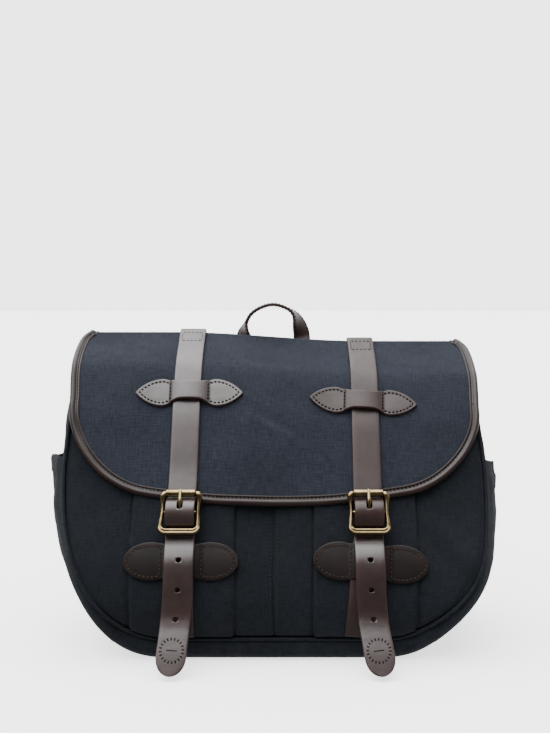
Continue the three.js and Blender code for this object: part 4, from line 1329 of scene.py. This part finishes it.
def ring(label, side):
    """A D ring: a straight bar in the tab's loop and a half round below it."""
    a = np.linspace(0, math.pi, 40)
    bend = columns(RING_HALF * np.cos(a), 221 - 17 * np.sin(a))
    bar = columns(np.linspace(-RING_HALF, RING_HALF, 16), RING_BAR_Z)
    corner = np.array([(-RING_HALF, 222.5), (-RING_HALF - 0.3, 224.6)])
    loop = np.concatenate([bar, (corner * (-1, 1))[::-1], bend, corner])
    loop = loop[np.concatenate([[True], np.linalg.norm(np.diff(loop, axis=0), axis=1) > 0.3])]
    path = columns(side * RING_X + loop[:, 0], RING_Y, loop[:, 1])
    out = np.tile(OUT_BACK, (len(path), 1))
    section = superellipse(RING_RADIUS, RING_RADIUS, 2.0, 16)
    shape = sweep(path, np.cross(closed_tangents(path), out), out, section, closed=True)
    cast("strap_ring", label, "strap_ring_brass", "ring", shape)


def ring_tab(label, side):
    """A plate on the back, and the loop below it that holds the ring."""
    x0 = side * RING_X
    rounded_plate("ring_tab", label, rounded_box(x0, 12.5, 233.0, 263.0, 3.5), 4.0, 2.8)
    a = np.linspace(0.95 * math.pi, 0.5 - math.pi, 40)[3::4][:8]
    turn = columns(RING_Y + LOOP_RADIUS * np.cos(a), RING_BAR_Z - LOOP_RADIUS * np.sin(a))
    start = [(BACK_Y + 1.7, 236.0), (BACK_Y + 1.9, 232.0), (77.9, 228.5)]
    line = spline(np.concatenate([start, turn, [(83.2, 230.6), (80.3, 233.8), (79.0, 237.5)]]), 70)
    p, across, out = strap_frames(line, x0, settle=np.array)
    points, faces, uv = sweep(p, across, out, leather_section(12.3, 1.9, 0.6))
    piece(make(f"ring_loop_leather_{label}", points, faces, LEATHER, uv), "root", "leather")


# ---- assembly --------------------------------------------------------------------------------------
front_panel()
for label, side in LEFT_RIGHT:
    front_pocket(label, side)
    end_pocket(label, side)
pocket_stitches()
gusset()
seam_rolls()
back_panel()
rear_pocket()
inner_pocket()
flap_cloth, flap_cut, flap_area = flap_panel()
flap_binding()
for label, side in LEFT_RIGHT:
    anchor_strap(label, side)
    closing_strap(label, side)
    strap_tail(label, side)
    buckle_x = float(strap_middle(side, BUCKLE_Z))
    buckle_frame(label, buckle_x)
    buckle_roller(label, buckle_x)
    buckle_prong(label, buckle_x)
    handle_patch(label, side)
    ring(label, side)
    ring_tab(label, side)
keepers_and_patches()
handle()

# ---- floor and light -------------------------------------------------------------------------------
PALE = 3.6
FLOOR_GLOW = 1.75
FLOOR_RADIUS = 40000.0
FLOOR_Z = -0.15
DAYLIGHT = (0.985, 0.99, 1.0)
SKY = ((-0.22, -0.12, 0.968), (0.6, 1.0), (0.16, 7.0))
BACK_FILL = ((0.12, 0.985, 0.12), (-0.4, 0.7), (0.0, 1.8))
FLOOR_BOUNCE = ((0.0, 0.0, -1.0), (-0.2, 0.4), (0.0, 1.6))


def glow(tree, direction, towards, turned, strengths):
    """Light that goes from one strength to another as the direction turns towards an axis."""
    facing = node(tree, "ShaderNodeVectorMath", "Value", {0: direction, 1: towards}, operation="DOT_PRODUCT")
    names = ("From Min", "From Max", "To Min", "To Max")
    inputs = {"Value": facing, **dict(zip(names, (*turned, *strengths)))}
    return node(tree, "ShaderNodeMapRange", "Result", inputs, interpolation_type="SMOOTHSTEP")


def floor():
    """A wide pale floor that the camera sees, and that neither lights the bag nor shows in its leather."""
    material, _, shade_with = new_material("floor")
    shade_with({
        "Base Color": (0.8, 0.8, 0.805), "Roughness": 0.9, "Specular IOR Level": 0.1,
        "Emission Color": DAYLIGHT, "Emission Strength": FLOOR_GLOW,
    })
    x, y = (circle(64) * FLOOR_RADIUS).T
    obj = make("floor", columns(x, y, FLOOR_Z), [tuple(range(64))], material)
    obj.visible_diffuse = False
    obj.visible_glossy = False


def studio_light():
    """One broad soft light overhead and a little to the left, a fill from behind, and the floor's bounce.

    The bounce reaches matt surfaces only, and the camera sees an even pale background.
    """
    world = bpy.data.worlds.new("studio")
    bpy.context.scene.world = world
    world.use_nodes = True
    tree = world.node_tree
    direction = node(tree, "ShaderNodeTexCoord", "Generated")
    sky, back, bounce = (glow(tree, direction, *light) for light in (SKY, BACK_FILL, FLOOR_BOUNCE))
    matt_only = maths(tree, "MULTIPLY", bounce, node(tree, "ShaderNodeLightPath", "Is Diffuse Ray"))
    light = maths(tree, "ADD", maths(tree, "ADD", sky, back), matt_only)
    seen = node(tree, "ShaderNodeLightPath", "Is Camera Ray")
    strength = node(tree, "ShaderNodeMix", 0, {0: seen, 2: light, 3: PALE}, data_type="FLOAT")
    connect(tree, tree.nodes["Background"], {"Strength": strength, "Color": DAYLIGHT})


floor()
studio_light()
